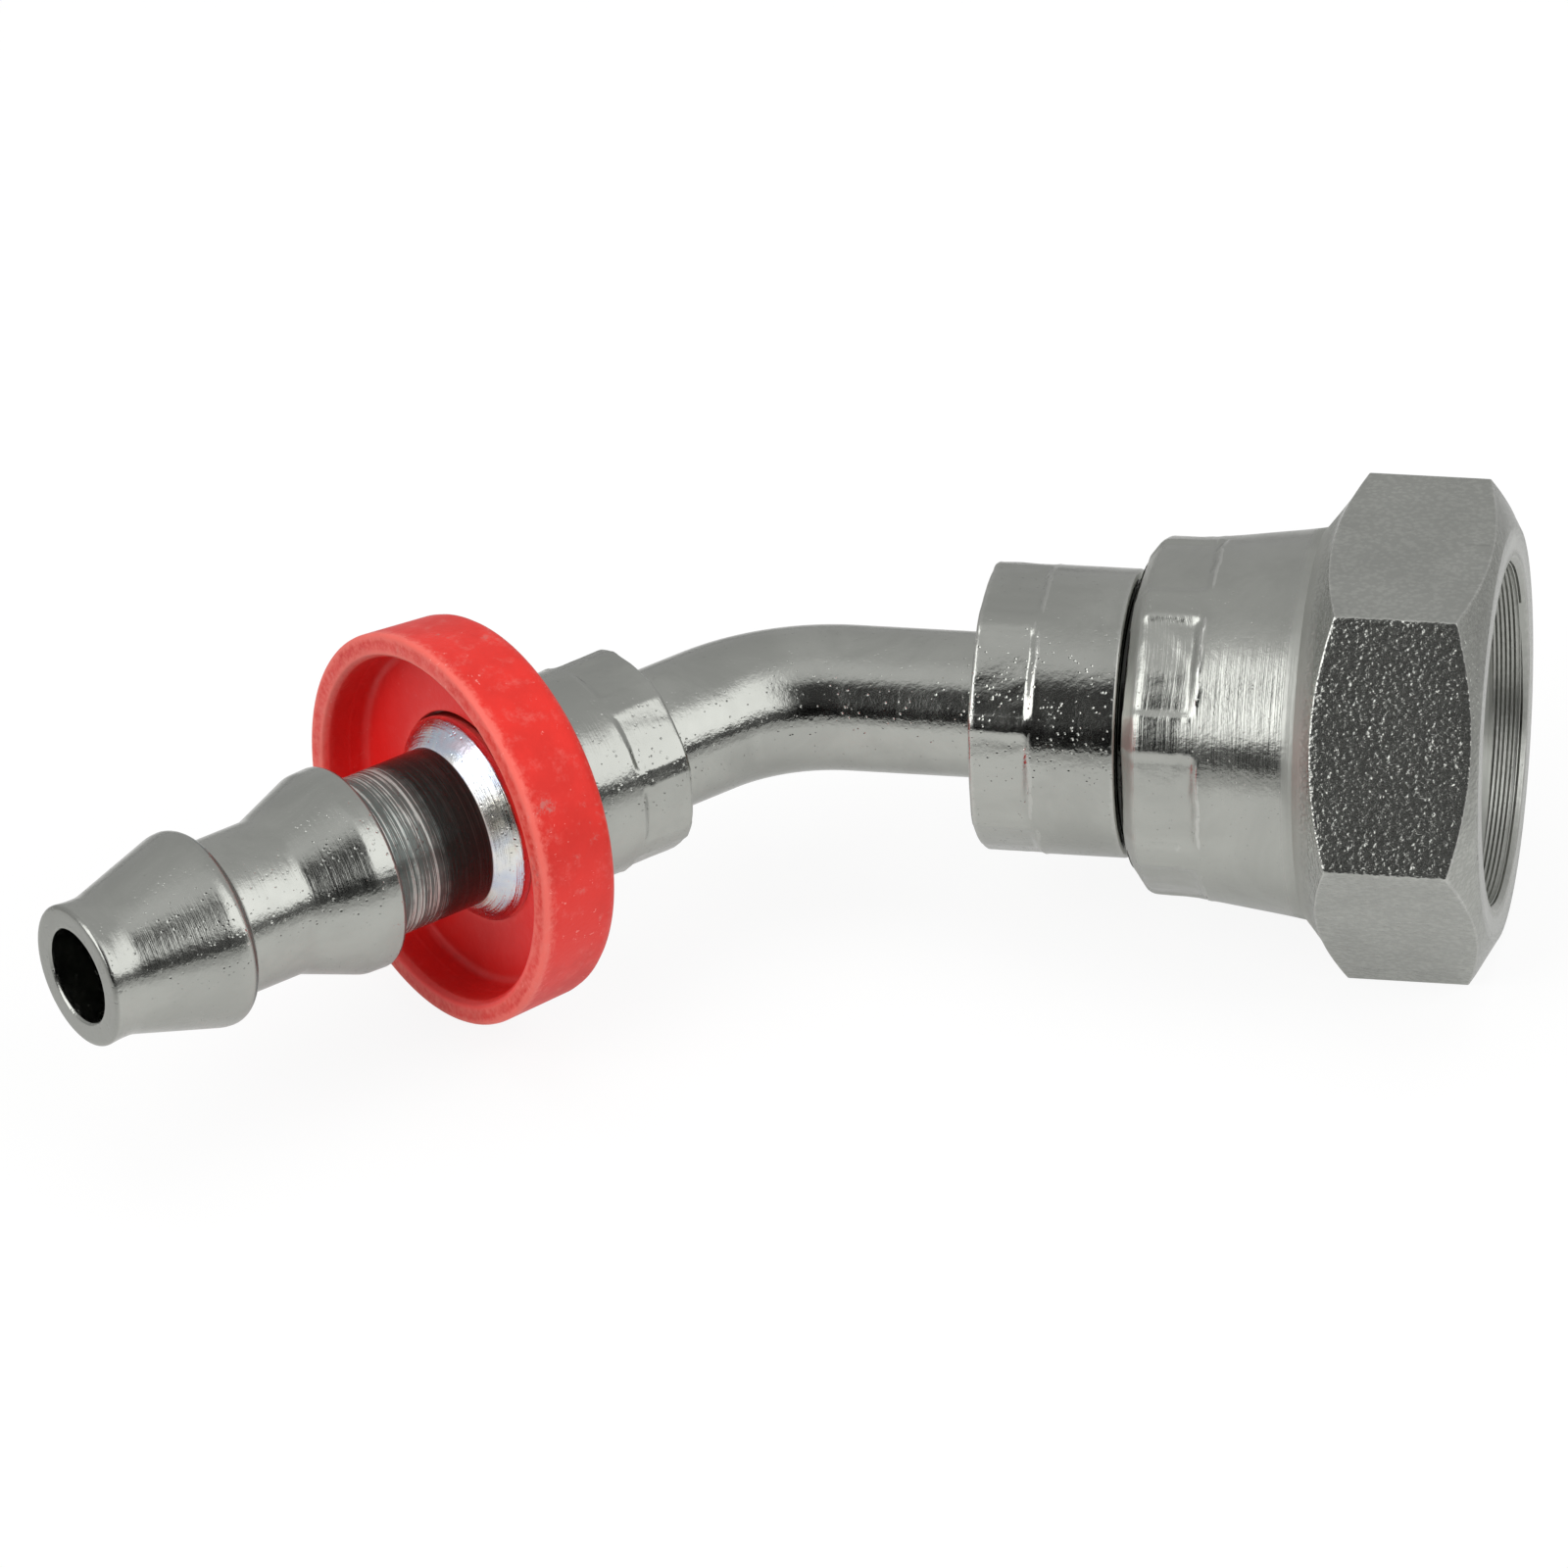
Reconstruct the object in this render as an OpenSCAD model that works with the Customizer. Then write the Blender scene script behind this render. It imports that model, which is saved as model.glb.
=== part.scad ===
// Bent hose tail with a swivel nut.
// A turned hose tail and a turned cone nipple are crimped onto the two ends
// of a bent tube. A moulded stop ring sits on the tail against its shoulder,
// and a hexagon nut with a crimped skirt turns freely on the nipple.
// The tail lies along +X with the middle of its tip face at the origin, the
// bend is flat in the XY plane, and the nut is turned a little off level.

/* [Hose tail] */
// Tip face to the crossing of the two axes
tail_len = 51; // [50:0.5:70]
// Bore through the tail
tail_bore_d = 6; // [4:0.1:6.2]
// Lip at the tip
tip_d = 9.1; // [8.6:0.1:9.6]
// Waist behind the tip and between the barbs
land_d = 9.9; // [9.4:0.1:10.6]
// Crest of the front barb
barb_1_d = 12.5; // [11.6:0.1:13]
// Tip face to the back of the front barb
barb_1_end = 9.45; // [8.6:0.05:11]
// Length of the front barb's cone
barb_1_cone = 6; // [4:0.1:6]
// Crest of the rear barb
barb_2_d = 13; // [12:0.1:14]
// Tip face to the back of the rear barb
barb_2_end = 19.6; // [18:0.1:22]
// Length of the rear barb's cone
barb_2_cone = 4; // [3:0.1:5]
// Neck behind the rear barb
neck_d = 10.2; // [9.4:0.1:11]
// Tip face to the back end of the neck
neck_end = 26.7; // [24:0.1:27.2]
// Shoulder and tube socket
body_d = 13.2; // [12.8:0.1:15]
// Axial length of the cone from the neck up to the shoulder
shoulder_len = 1.2; // [0.6:0.1:1.6]
// Crossing of the axes to the socket's end face
tail_leg = 10.4; // [9:0.1:11]
// How far the tube enters the socket
socket_depth = 9; // [6:0.5:9]

/* [Stop ring] */
// Outside of the ring at its open rim
stop_rim_d = 25.3; // [24:0.1:28]
// Outside of the ring at its closed back
stop_back_d = 24.7; // [23.4:0.1:27]
// Wall at the rim
stop_wall = 1.6; // [1:0.1:2.4]
// Whole length of the ring
stop_len = 5.7; // [4.5:0.1:7]
// Thickness of the floor
stop_floor = 2.6; // [1.6:0.1:3]
// Back end of the neck to the front of the ring's floor
stop_seat = 1.7; // [1.7:0.1:3]

/* [Bent tube] */
// Outside of the tube
tube_d = 9; // [8.4:0.1:9.8]
// Wall of the tube
tube_wall = 1.2; // [0.8:0.1:1.4]
// Bend radius on the tube's axis
bend_r = 12; // [9:0.5:18]
// Angle between the tail's axis and the nut's axis
bend_angle = 45; // [30:5:60]

/* [Cone nipple] */
// Crossing of the axes to the collar's back face
nipple_leg = 13.6; // [11:0.1:20]
// Collar that is crimped on the tube
collar_d = 17.8; // [15:0.1:18.4]
// Length of the collar
collar_len = 9.1; // [8.8:0.1:12]
// How far the tube enters the collar
collar_depth = 8.5; // [6:0.5:8.5]
// Neck inside the nut's crimped lip
nipple_neck_d = 16; // [14:0.1:16.6]
// Head that the nut's lip pulls on
head_d = 19.2; // [18.4:0.1:19.4]
// Cylindrical length of the head
head_len = 2.6; // [2:0.1:3.4]
// Seat cone where it leaves the head
seat_d = 17.8; // [16:0.1:18.2]
// Flat end of the seat cone
nose_d = 11.6; // [11:0.1:14]
// Included angle of the seat cone
seat_angle = 60; // [60:1:74]
// Bore through the nipple
nipple_bore_d = 6.4; // [4:0.1:7]

/* [Swivel nut] */
// Width across the flats
nut_af = 27; // [27:0.5:32]
// Whole length of the nut
nut_len = 22.3; // [21.6:0.1:26]
// Length of the hexagon with its chamfers
hex_len = 11; // [9:0.1:12]
// Wall of the skirt at the crimped end
skirt_wall = 1.25; // [1:0.05:1.6]
// Wall of the skirt where it meets the hexagon
skirt_front_wall = 2.4; // [2:0.05:2.8]
// Collar face to the nut's back face
nut_gap = 0.5; // [0.3:0.1:1.4]
// Major diameter of the nut's pipe thread
thread_d = 20.96; // [20:0.01:21.2]
// Length of the threaded wall behind the mouth chamfer
thread_len = 8.3; // [6:0.1:8.6]
// Depth of the groove that the thread runs out into
groove_depth = 0.45; // [0.3:0.05:0.6]
// Length of that groove
groove_len = 0.8; // [0.6:0.1:1.5]
// Mouth chamfer, along the axis
mouth_chamfer = 0.5; // [0.2:0.1:1]
// Angle of the hexagon's chamfers
hex_chamfer_angle = 30; // [20:1:34]
// Turn of the nut from two level flats
nut_turn = 3; // [0:1:30]

/* [Crimp marks] */
// Number of crimp marks round each crimp
crimp_count = 8; // [6:1:9]
// Length of the marks on the socket and the collar
crimp_len = 3.6; // [2:0.1:5]
// Angle that one mark takes on the socket
socket_crimp_angle = 31; // [24:1:34]
// Turn of the socket's marks from the top
socket_crimp_turn = 3.5; // [0:0.5:44]
// Angle that one mark takes on the collar
collar_crimp_angle = 37; // [24:1:38]
// Turn of the collar's marks from the top
collar_crimp_turn = 43.5; // [0:0.5:44]
// Length of the marks on the nut's skirt
skirt_crimp_len = 4.5; // [3:0.1:5]
// Angle that one mark takes on the skirt
skirt_crimp_angle = 32; // [24:1:34]
// Turn of the skirt's marks from a flat of the hexagon
skirt_crimp_turn = 39; // [0:0.5:44]

/* [Clearances] */
// Radial gap between the tube and its two sockets, and under the stop ring
seat_gap = 0.02; // [0.01:0.01:0.05]
// Radial running gap between the nipple's head and the nut
swivel_gap = 0.15; // [0.1:0.01:0.2]
// Gap between the nipple and the nut's crimped lip
lip_gap = 0.3; // [0.2:0.05:0.5]

/* [Hidden] */
$fn = 96;
eps = 0.5;
arc_steps = 5;
hex_sides = 6;
crest_blend = 0.3;
barb_1_band = 0.3;
barb_1_edge = 0.8;
barb_2_band = 0.9;
barb_2_edge = 0.35;
land_fillet = 0.3;
tip_edge = 0.3;
tip_waist = 0.12;
bore_bevel = 0.35;
edge = 0.3;
stop_edge = 0.9;
stop_lip = 0.35;
stop_fillet = 0.6;
stop_draft = 0.1;
skirt_chamfer = 0.9;
skirt_chamfer_r = 1.2;
skirt_band = 2.6;
fillet_len = 1;
bend_swell = 0.02;
run_lap = 0.05;

tube_r = tube_d / 2;
tube_bore_r = tube_r - tube_wall;
body_r = body_d / 2;
socket_end = tail_len - tail_leg;
tube_start = socket_end - socket_depth;
stop_floor_x = neck_end + stop_seat;
stop_back_x = stop_floor_x + stop_floor;
stop_rim_x = stop_back_x - stop_len;
bend_tangent = bend_r * tan(bend_angle / 2);

collar_front = nipple_leg + collar_len;
tube_stop = nipple_leg + collar_depth;
nut_back = collar_front + nut_gap;
nut_face = nut_back + nut_len;
hex_back = nut_face - hex_len;
mouth_r = thread_d / 2 + mouth_chamfer * 0.8;
thread_back = nut_face - mouth_chamfer - thread_len;
seat_slope = tan(seat_angle / 2);
nose_x = thread_back - lip_gap;
head_front = nose_x - (seat_d - nose_d) / 2 / seat_slope;
head_back = head_front - head_len;
head_rise = (head_d - nipple_neck_d) / 2;
lip_r = nipple_neck_d / 2 + lip_gap;
chamber_r = head_d / 2 + swivel_gap;
skirt_r = chamber_r + skirt_wall;
lip_end = head_back - head_rise - lip_gap * tan(45 / 2);
chamfer_slope = tan(hex_chamfer_angle);
hex_corner_r = nut_af / 2 / cos(180 / hex_sides);
hex_face_r = nut_af / 2 - 0.75;
hex_base_r = chamber_r + skirt_front_wall;

// Points of an arc about [x, r], from one angle to another, along X and R.
function arc(x, r, size, from, to) = [
  for (i = [0 : arc_steps])
    let (a = from + (to - from) * i / arc_steps)
      [x + size * cos(a), r + size * sin(a)]
];

// A solid turned about the X axis from a profile of [x, r] points.
module turned(profile) {
  rotate([0, 90, 0])
    rotate_extrude()
      polygon([for (p = profile) [p[1], p[0]]]);
}

// A straight hole along X.
module bore(r, from, to) {
  translate([from, 0, 0])
    rotate([0, 90, 0])
      cylinder(r = r, h = to - from);
}

// Moves what is drawn along X from the crossing of the axes onto the nut's axis.
module on_nut_axis() {
  translate([tail_len, 0, 0])
    rotate([0, 0, -bend_angle])
      children();
}

// Flats that crimping jaws leave round a turned surface, between two places on X.
module crimp_flats(r, angle, from, to) {
  flat_r = r * cos(angle / 2);
  flat_w = 2 * r * sin(angle / 2) + 2;
  for (i = [0 : crimp_count - 1])
    rotate([i * 360 / crimp_count, 0, 0])
      translate([from, -flat_w / 2, flat_r])
        cube([to - from, flat_w, r]);
}

// One barb: a cone up from the land, a blend, a crest band and a rounded back edge.
function barb(end, cone, band, back_edge, low_r, crest_r) =
  let (band_x = end - back_edge - band)
    concat(
      [[band_x - crest_blend - cone, low_r], [band_x - crest_blend, crest_r - 0.05]],
      [[band_x, crest_r]],
      arc(end - back_edge, crest_r - back_edge, back_edge, 90, 0)
    );

// Turned tail: bored tip, two barbs, neck, shoulder and the tube socket behind it.
module hose_tail() {
  tip_r = tip_d / 2;
  land_r = land_d / 2;
  neck_r = neck_d / 2;
  waist_r = tip_r - tip_waist;
  outline = concat(
    [[0, 0]],
    arc(tip_edge, tip_r - tip_edge, tip_edge, 180, 90),
    [[tip_edge + 0.8, waist_r]],
    barb(barb_1_end, barb_1_cone, barb_1_band, barb_1_edge, waist_r, barb_1_d / 2),
    [[barb_1_end, land_r + land_fillet], [barb_1_end + land_fillet, land_r]],
    barb(barb_2_end, barb_2_cone, barb_2_band, barb_2_edge, land_r, barb_2_d / 2),
    [[barb_2_end, neck_r + land_fillet], [barb_2_end + land_fillet, neck_r]],
    [[neck_end, neck_r]],
    [[neck_end + shoulder_len, body_r - 0.1], [neck_end + shoulder_len + 0.1, body_r]],
    arc(socket_end - edge, body_r - edge, edge, 90, 0),
    [[socket_end, 0]]
  );
  color("#8f918b")
    difference() {
      turned(outline);
      bore(tail_bore_d / 2, -eps, tube_start + eps);
      bore(tube_r + seat_gap, tube_start, socket_end + eps);
      rotate([socket_crimp_turn, 0, 0])
        crimp_flats(body_r, socket_crimp_angle, socket_end - crimp_len, socket_end + eps);
    }
}

// Moulded cup that hides the cut end of the hose, open towards the tip.
module hose_stop() {
  rim_r = stop_rim_d / 2;
  back_r = stop_back_d / 2;
  cup_r = rim_r - stop_wall;
  floor_r = cup_r - stop_draft;
  color("#dd3b33")
    difference() {
      turned(concat(
        [[stop_rim_x, 0]],
        arc(stop_rim_x + stop_lip, rim_r - stop_lip, stop_lip, 180, 90),
        arc(stop_back_x - stop_edge, back_r - stop_edge, stop_edge, 90, 0),
        [[stop_back_x, 0]]
      ));
      turned(concat(
        [[stop_rim_x - eps, 0], [stop_rim_x - eps, cup_r]],
        arc(stop_floor_x - stop_fillet, floor_r - stop_fillet, stop_fillet, 90, 0),
        [[stop_floor_x, 0]]
      ));
      bore(body_r + seat_gap, stop_rim_x, stop_back_x + eps);
    }
}

// Outer or inner surface of the bent tube, longer at both ends by extra. The
// bend is a hair fuller than the straight runs, which end just inside it.
module tube_form(r, extra) {
  bore(r, tube_start - extra, tail_len - bend_tangent + run_lap);
  translate([tail_len - bend_tangent, -bend_r, 0])
    rotate([0, 0, 90 - bend_angle])
      rotate_extrude(angle = bend_angle)
        translate([bend_r, 0])
          circle(r = r + bend_swell);
  on_nut_axis()
    bore(r, bend_tangent - run_lap, tube_stop + extra);
}

// Steel tube with one bend, bored right through.
module elbow_tube() {
  color("#a3a5a0")
    difference() {
      tube_form(tube_r, 0);
      tube_form(tube_bore_r, eps);
    }
}

// Turned nipple: collar over the tube, neck, head and the cone that seals.
module cone_nipple() {
  collar_r = collar_d / 2;
  neck_r = nipple_neck_d / 2;
  head_r = head_d / 2;
  bore_r = nipple_bore_d / 2;
  color("#989a95")
    on_nut_axis()
      difference() {
        turned(concat(
          [[nipple_leg, 0]],
          arc(nipple_leg + edge, collar_r - edge, edge, 180, 90),
          arc(collar_front - edge, collar_r - edge, edge, 90, 0),
          [[collar_front, neck_r]],
          [[head_back - head_rise, neck_r], [head_back, head_r]],
          [[head_front - edge, head_r], [head_front, head_r - edge]],
          [[head_front, seat_d / 2], [nose_x, nose_d / 2], [nose_x, 0]]
        ));
        bore(bore_r, tube_stop - eps, nose_x + eps);
        turned([
          [nose_x + eps, 0],
          [nose_x + eps, bore_r + 2 * bore_bevel + eps],
          [nose_x - 2 * bore_bevel, bore_r],
          [nose_x - 2 * bore_bevel, 0]
        ]);
        bore(tube_r + seat_gap, nipple_leg - eps, tube_stop);
        rotate([collar_crimp_turn, 0, 0])
          crimp_flats(collar_r, collar_crimp_angle, nipple_leg - eps, nipple_leg + crimp_len);
      }
}

// Hexagon with a chamfer cone at each end, and the crimped skirt behind it.
module nut_body() {
  face_slope = (hex_corner_r - hex_face_r) * chamfer_slope;
  intersection() {
    translate([hex_back - eps, 0, 0])
      rotate([180 / hex_sides, 0, 0])
        rotate([0, 90, 0])
          cylinder(r = hex_corner_r, h = hex_len + eps, $fn = hex_sides);
    turned([
      [hex_back, 0],
      [hex_back, hex_base_r],
      [hex_back + (hex_corner_r + 1 - hex_base_r) * chamfer_slope, hex_corner_r + 1],
      [nut_face - face_slope - chamfer_slope, hex_corner_r + 1],
      [nut_face, hex_face_r],
      [nut_face, 0]
    ]);
  }
  difference() {
    turned([
      [nut_back, 0],
      [nut_back, skirt_r - skirt_chamfer_r],
      [nut_back + skirt_chamfer, skirt_r],
      [nut_back + skirt_chamfer + skirt_band, skirt_r + 0.08],
      [hex_back - fillet_len, hex_base_r - 0.2],
      [hex_back, hex_base_r],
      [hex_back + 1, hex_base_r],
      [hex_back + 1, 0]
    ]);
    rotate([skirt_crimp_turn, 0, 0])
      crimp_flats(skirt_r, skirt_crimp_angle, nut_back - eps, nut_back + skirt_crimp_len);
  }
}

// Nut that is held on the nipple by the crimped lip of its skirt.
module swivel_nut() {
  lip_rise = chamber_r - lip_r;
  color("#8b8d87")
    on_nut_axis()
      difference() {
        rotate([nut_turn, 0, 0])
          nut_body();
        turned([
          [nut_back - eps, 0],
          [nut_back - eps, lip_r],
          [lip_end, lip_r],
          [lip_end + lip_rise, chamber_r],
          [thread_back, chamber_r],
          [thread_back, 0]
        ]);
        bore(thread_d / 2 + groove_depth, thread_back - groove_len, thread_back);
        bore(thread_d / 2, thread_back - eps, nut_face + eps);
        turned([
          [nut_face - mouth_chamfer, 0],
          [nut_face - mouth_chamfer, thread_d / 2],
          [nut_face, mouth_r],
          [nut_face + eps, mouth_r],
          [nut_face + eps, 0]
        ]);
      }
}

hose_tail();
hose_stop();
elbow_tube();
cone_nipple();
swivel_nut();
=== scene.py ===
"""Looks for the elbow hose tail: five pieces turned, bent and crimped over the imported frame."""
import logging
import math
from dataclasses import dataclass, field
from enum import Enum
from typing import Callable, Sequence

import bmesh
import bpy
from mathutils import Euler, Matrix, Vector, noise


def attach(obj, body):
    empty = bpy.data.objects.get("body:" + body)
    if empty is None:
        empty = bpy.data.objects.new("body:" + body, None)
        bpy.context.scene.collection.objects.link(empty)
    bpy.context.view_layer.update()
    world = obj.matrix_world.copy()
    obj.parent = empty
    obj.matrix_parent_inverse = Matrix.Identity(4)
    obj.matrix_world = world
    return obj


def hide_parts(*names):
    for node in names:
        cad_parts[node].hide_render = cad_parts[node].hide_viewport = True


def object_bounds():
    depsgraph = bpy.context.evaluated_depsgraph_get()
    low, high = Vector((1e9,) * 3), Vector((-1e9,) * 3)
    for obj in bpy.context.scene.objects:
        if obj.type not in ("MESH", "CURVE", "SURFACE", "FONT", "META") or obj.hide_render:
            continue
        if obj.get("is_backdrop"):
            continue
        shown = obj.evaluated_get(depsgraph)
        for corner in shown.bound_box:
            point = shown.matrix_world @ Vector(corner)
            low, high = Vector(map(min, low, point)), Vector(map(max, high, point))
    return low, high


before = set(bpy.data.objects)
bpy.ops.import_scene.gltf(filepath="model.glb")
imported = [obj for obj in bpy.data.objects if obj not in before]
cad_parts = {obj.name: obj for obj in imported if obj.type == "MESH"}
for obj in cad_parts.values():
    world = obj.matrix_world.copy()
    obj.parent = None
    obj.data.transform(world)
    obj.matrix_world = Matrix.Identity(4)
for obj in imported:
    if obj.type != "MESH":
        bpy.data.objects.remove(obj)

log = logging.getLogger("hose_tail")
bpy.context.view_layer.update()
MM = 0.001
TURN = 2 * math.pi

# The two axes of the part cross here, and the nut's axis leaves the tail's at this angle.
CROSSING = Vector((51.0, 0.0, 0.0))
BEND_ANGLE = math.radians(45)

# Vertices closer than this are one, in millimetres.
MERGE = 1e-5
# Added corners of an outline stand this far from a rounding, and shorter sides get none.
SUPPORT = 0.22
SHORTEST_SIDE = 0.25
# The nut's outline holds its hexagon at this radius until the flats are shaped.
HEX_BLANK_R = 15.0
# Share of the edge mask that the next ring of vertices takes over, and its furthest reach.
EDGE_SPREAD = 0.72
EDGE_REACH = 0.3

Point = tuple[float, float]
Corner = tuple[float, float, float]
Color = tuple[float, float, float]
Mesh = bmesh.types.BMesh
Node = bpy.types.Node
Socket = bpy.types.NodeSocket


class Axis(Enum):
    """The two straight axes that the pieces are turned about."""

    TAIL = "tail"
    NUT = "nut"

    def place(self) -> Matrix:
        """Return the matrix from a piece's own frame, X along its axis, to the part's frame."""
        if self is Axis.TAIL:
            return Matrix.Identity(4)
        return Matrix.Translation(CROSSING) @ Matrix.Rotation(-BEND_ANGLE, 4, "Z")


class Body(Enum):
    """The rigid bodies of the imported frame."""

    FIXED = "body"
    NUT = "nut"


def smooth_step(value: float, low: float, high: float) -> float:
    """Return 0 at low, 1 at high and a smooth change between them.

    Args:
        value: The place to read.
        low: Where the step starts.
        high: Where the step ends.

    Returns:
        The height of the step at value.
    """
    t = min(1.0, max(0.0, (value - low) / (high - low)))
    return t * t * (3 - 2 * t)


# ---------------------------------------------------------------- mesh tools


def between(start: Sequence[float], end: Sequence[float], share: float) -> Corner:
    """Return the corner, not rounded, at a share of the way between two places."""
    return (start[0] + (end[0] - start[0]) * share, start[1] + (end[1] - start[1]) * share, 0.0)


def close_rings(start: Point, end: Point, spacing: float = 0.075) -> list[Corner]:
    """Return close corners along a straight part of an outline, for marks to be pressed into."""
    count = math.ceil(math.dist(start, end) / spacing)
    return [between(start, end, k / count) for k in range(count + 1)]


def supported(profile: Sequence[Corner], longest: float) -> list[Corner]:
    """Add corners beside the ends of an outline's long sides, and even ones between them.

    Args:
        profile: Corners as (x, radius, rounding), all in millimetres.
        longest: Longest side that is left between the added corners.

    Returns:
        The outline with the added corners, which aren't rounded.
    """
    points: list[Corner] = []
    for start, end in zip(profile, list(profile[1:]) + [profile[0]]):
        points.append(start)
        length = math.dist(start[:2], end[:2])
        near, far = start[2] + SUPPORT, length - end[2] - SUPPORT
        if far - near < SHORTEST_SIDE or max(start[1], end[1]) > HEX_BLANK_R - 0.1:
            continue
        count = max(1, math.ceil((far - near) / longest))
        points += [between(start, end, (near + (far - near) * k / count) / length)
                   for k in range(count + 1)]
    return points


def turned_mesh(profile: Sequence[Corner], steps: int, longest: float) -> Mesh:
    """Turn a closed profile about the X axis.

    Args:
        profile: Corners as (x, radius, rounding), all in millimetres.
        steps: Columns round the axis.
        longest: Longest edge that is left along the profile.

    Returns:
        A closed mesh in millimetres, X along the axis.
    """
    bm = bmesh.new()
    profile = supported(profile, longest)
    verts = [bm.verts.new((x, 0.0, r)) for x, r, _ in profile]
    for a, b in zip(verts, verts[1:] + verts[:1]):
        bm.edges.new((a, b))
    for vert, (_, _, rounding) in list(zip(verts, profile)):
        if rounding > 0:
            bmesh.ops.bevel(
                bm, geom=[vert], offset=rounding, offset_type="OFFSET", affect="VERTICES",
                segments=4, profile=0.5, material=-1, clamp_overlap=True)
    bmesh.ops.spin(
        bm, geom=bm.verts[:] + bm.edges[:], cent=(0, 0, 0), axis=(1, 0, 0), dvec=(0, 0, 0),
        angle=TURN, steps=steps, use_merge=True, use_duplicate=False)
    bmesh.ops.remove_doubles(bm, verts=bm.verts[:], dist=MERGE)
    bmesh.ops.recalc_face_normals(bm, faces=bm.faces[:])
    return bm


def polar(co: Vector) -> tuple[float, float]:
    """Return the radius of a point about X and its angle from +Z towards -Y."""
    return math.hypot(co.y, co.z), math.atan2(-co.y, co.z)


def set_polar(co: Vector, radius: float, angle: float) -> None:
    """Move a point to a radius and an angle from +Z towards -Y, and leave its place on X."""
    co.y = -radius * math.sin(angle)
    co.z = radius * math.cos(angle)


@dataclass(frozen=True)
class CrimpRing:
    """A row of marks that crimping jaws pressed round a turned surface.

    A mark is flatter than the surface by the share in flatness, and lies a step below it.
    Its border is blurred over the blend, and the metal stands up by the lip beside it.
    """

    radius: float
    start: float
    end: float
    turn: float
    width: float
    count: int = 8
    blend: float = 0.22
    lip: float = 0.05
    inner: float = 0.0
    flatness: float = 0.55
    step: float = 0.1

    def press(self, bm: Mesh) -> None:
        """Press the marks into a turned mesh.

        Args:
            bm: The mesh in its own frame, in millimetres.
        """
        reach = self.radius * 1.02
        pitch = TURN / self.count
        half = math.radians(self.width) / 2
        for vert in bm.verts:
            co = vert.co
            radius, angle = polar(co)
            if not self.inner < radius < reach:
                continue
            number = round((angle - math.radians(self.turn)) / pitch)
            shift = 0.1 * math.sin(number * 2.4 + self.radius)
            centre = math.radians(self.turn + 6 * shift) + number * pitch
            off = angle - centre
            frayed = self.uneven(angle * 0.7, co.x * 2.2, 0.16)
            inside = min(self.side(co.x - self.start + shift),
                         self.side(self.end - co.x + shift + self.ragged(angle, co.x)))
            inside *= self.side((half - abs(off)) * self.radius + frayed)
            if inside > 0:
                flat = self.radius * (1 - math.cos(half) / math.cos(min(abs(off), half)))
                wave = self.uneven(angle * 9, co.x * 1.1, 0.05)
                sunk = (flat * self.flatness + self.step + wave) * inside
                set_polar(co, radius - sunk, angle)
            elif abs(off) < pitch:
                self.raise_lip(vert, centre, shift)

    def uneven(self, around: float, along: float, size: float) -> float:
        """Return smooth noise of a size for a place round and along the axis."""
        return size * noise.noise(Vector((around, along, self.radius)))

    def ragged(self, angle: float, x: float) -> float:
        """Return how far the inner end of the marks strays from its straight line."""
        return self.uneven(angle * 7, x * 0.5, 0.13)

    def side(self, distance: float) -> float:
        """Return how deep the mark is, from 0 to 1, at a distance inside one of its ends."""
        return smooth_step(distance, -self.blend / 2, self.blend / 2)

    def raise_lip(self, vert: bmesh.types.BMVert, centre: float, shift: float) -> None:
        """Lift the metal that the jaw pushed up beside a mark.

        Args:
            vert: The vertex to lift.
            centre: Angle of the mark's middle.
            shift: How far the mark lies from its even place along the axis.
        """
        co = vert.co
        radius, angle = polar(co)
        half = math.radians(self.width) / 2
        beyond = max(co.x - self.end - shift - self.ragged(angle, co.x),
                     self.start - co.x - shift)
        aside = (abs(angle - centre) - half) * self.radius
        wave = 0.5 + self.uneven(angle * 9, co.x * 1.7, 0.9)
        ahead = math.exp(-((beyond - 0.22) / 0.2) ** 2) * smooth_step(-aside, -0.2, 0.5)
        beside = math.exp(-((aside - 0.2) / 0.19) ** 2) * smooth_step(-beyond, -0.25, 0.1)
        near = beyond < 0.9 and aside < 0.9
        swell = max(ahead, 0.7 * beside) * (1.0 if near else 0.0)
        set_polar(co, radius + self.lip * wave * swell, angle)


def edge_attribute(bm: Mesh, reach: float, rounds: int) -> None:
    """Write a soft mask of the convex edges, from 0 on flat ground to 1 on an edge.

    Args:
        bm: The finished mesh in millimetres.
        reach: Bend of the surface, in radians for each millimetre, that counts as an edge.
        rounds: Times that the mask is spread to the neighbours.
    """
    layer = bm.verts.layers.float.new("edge")
    for vert in bm.verts:
        bend = 0.0
        for edge in vert.link_edges:
            if len(edge.link_faces) == 2:
                length = sum(f.calc_area() for f in edge.link_faces) / max(edge.calc_length(), 1e-6)
                bend = max(bend, edge.calc_face_angle_signed(0.0) / max(length, 0.02))
        vert[layer] = min(1.0, max(0.0, bend / reach))
    for _ in range(rounds):
        spread: dict[bmesh.types.BMVert, float] = {}
        for vert in bm.verts:
            near = [e.other_vert(vert)[layer] for e in vert.link_edges
                    if e.calc_length() < EDGE_REACH]
            spread[vert] = max(vert[layer], EDGE_SPREAD * max(near, default=0.0))
        for vert, value in spread.items():
            vert[layer] = value


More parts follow.
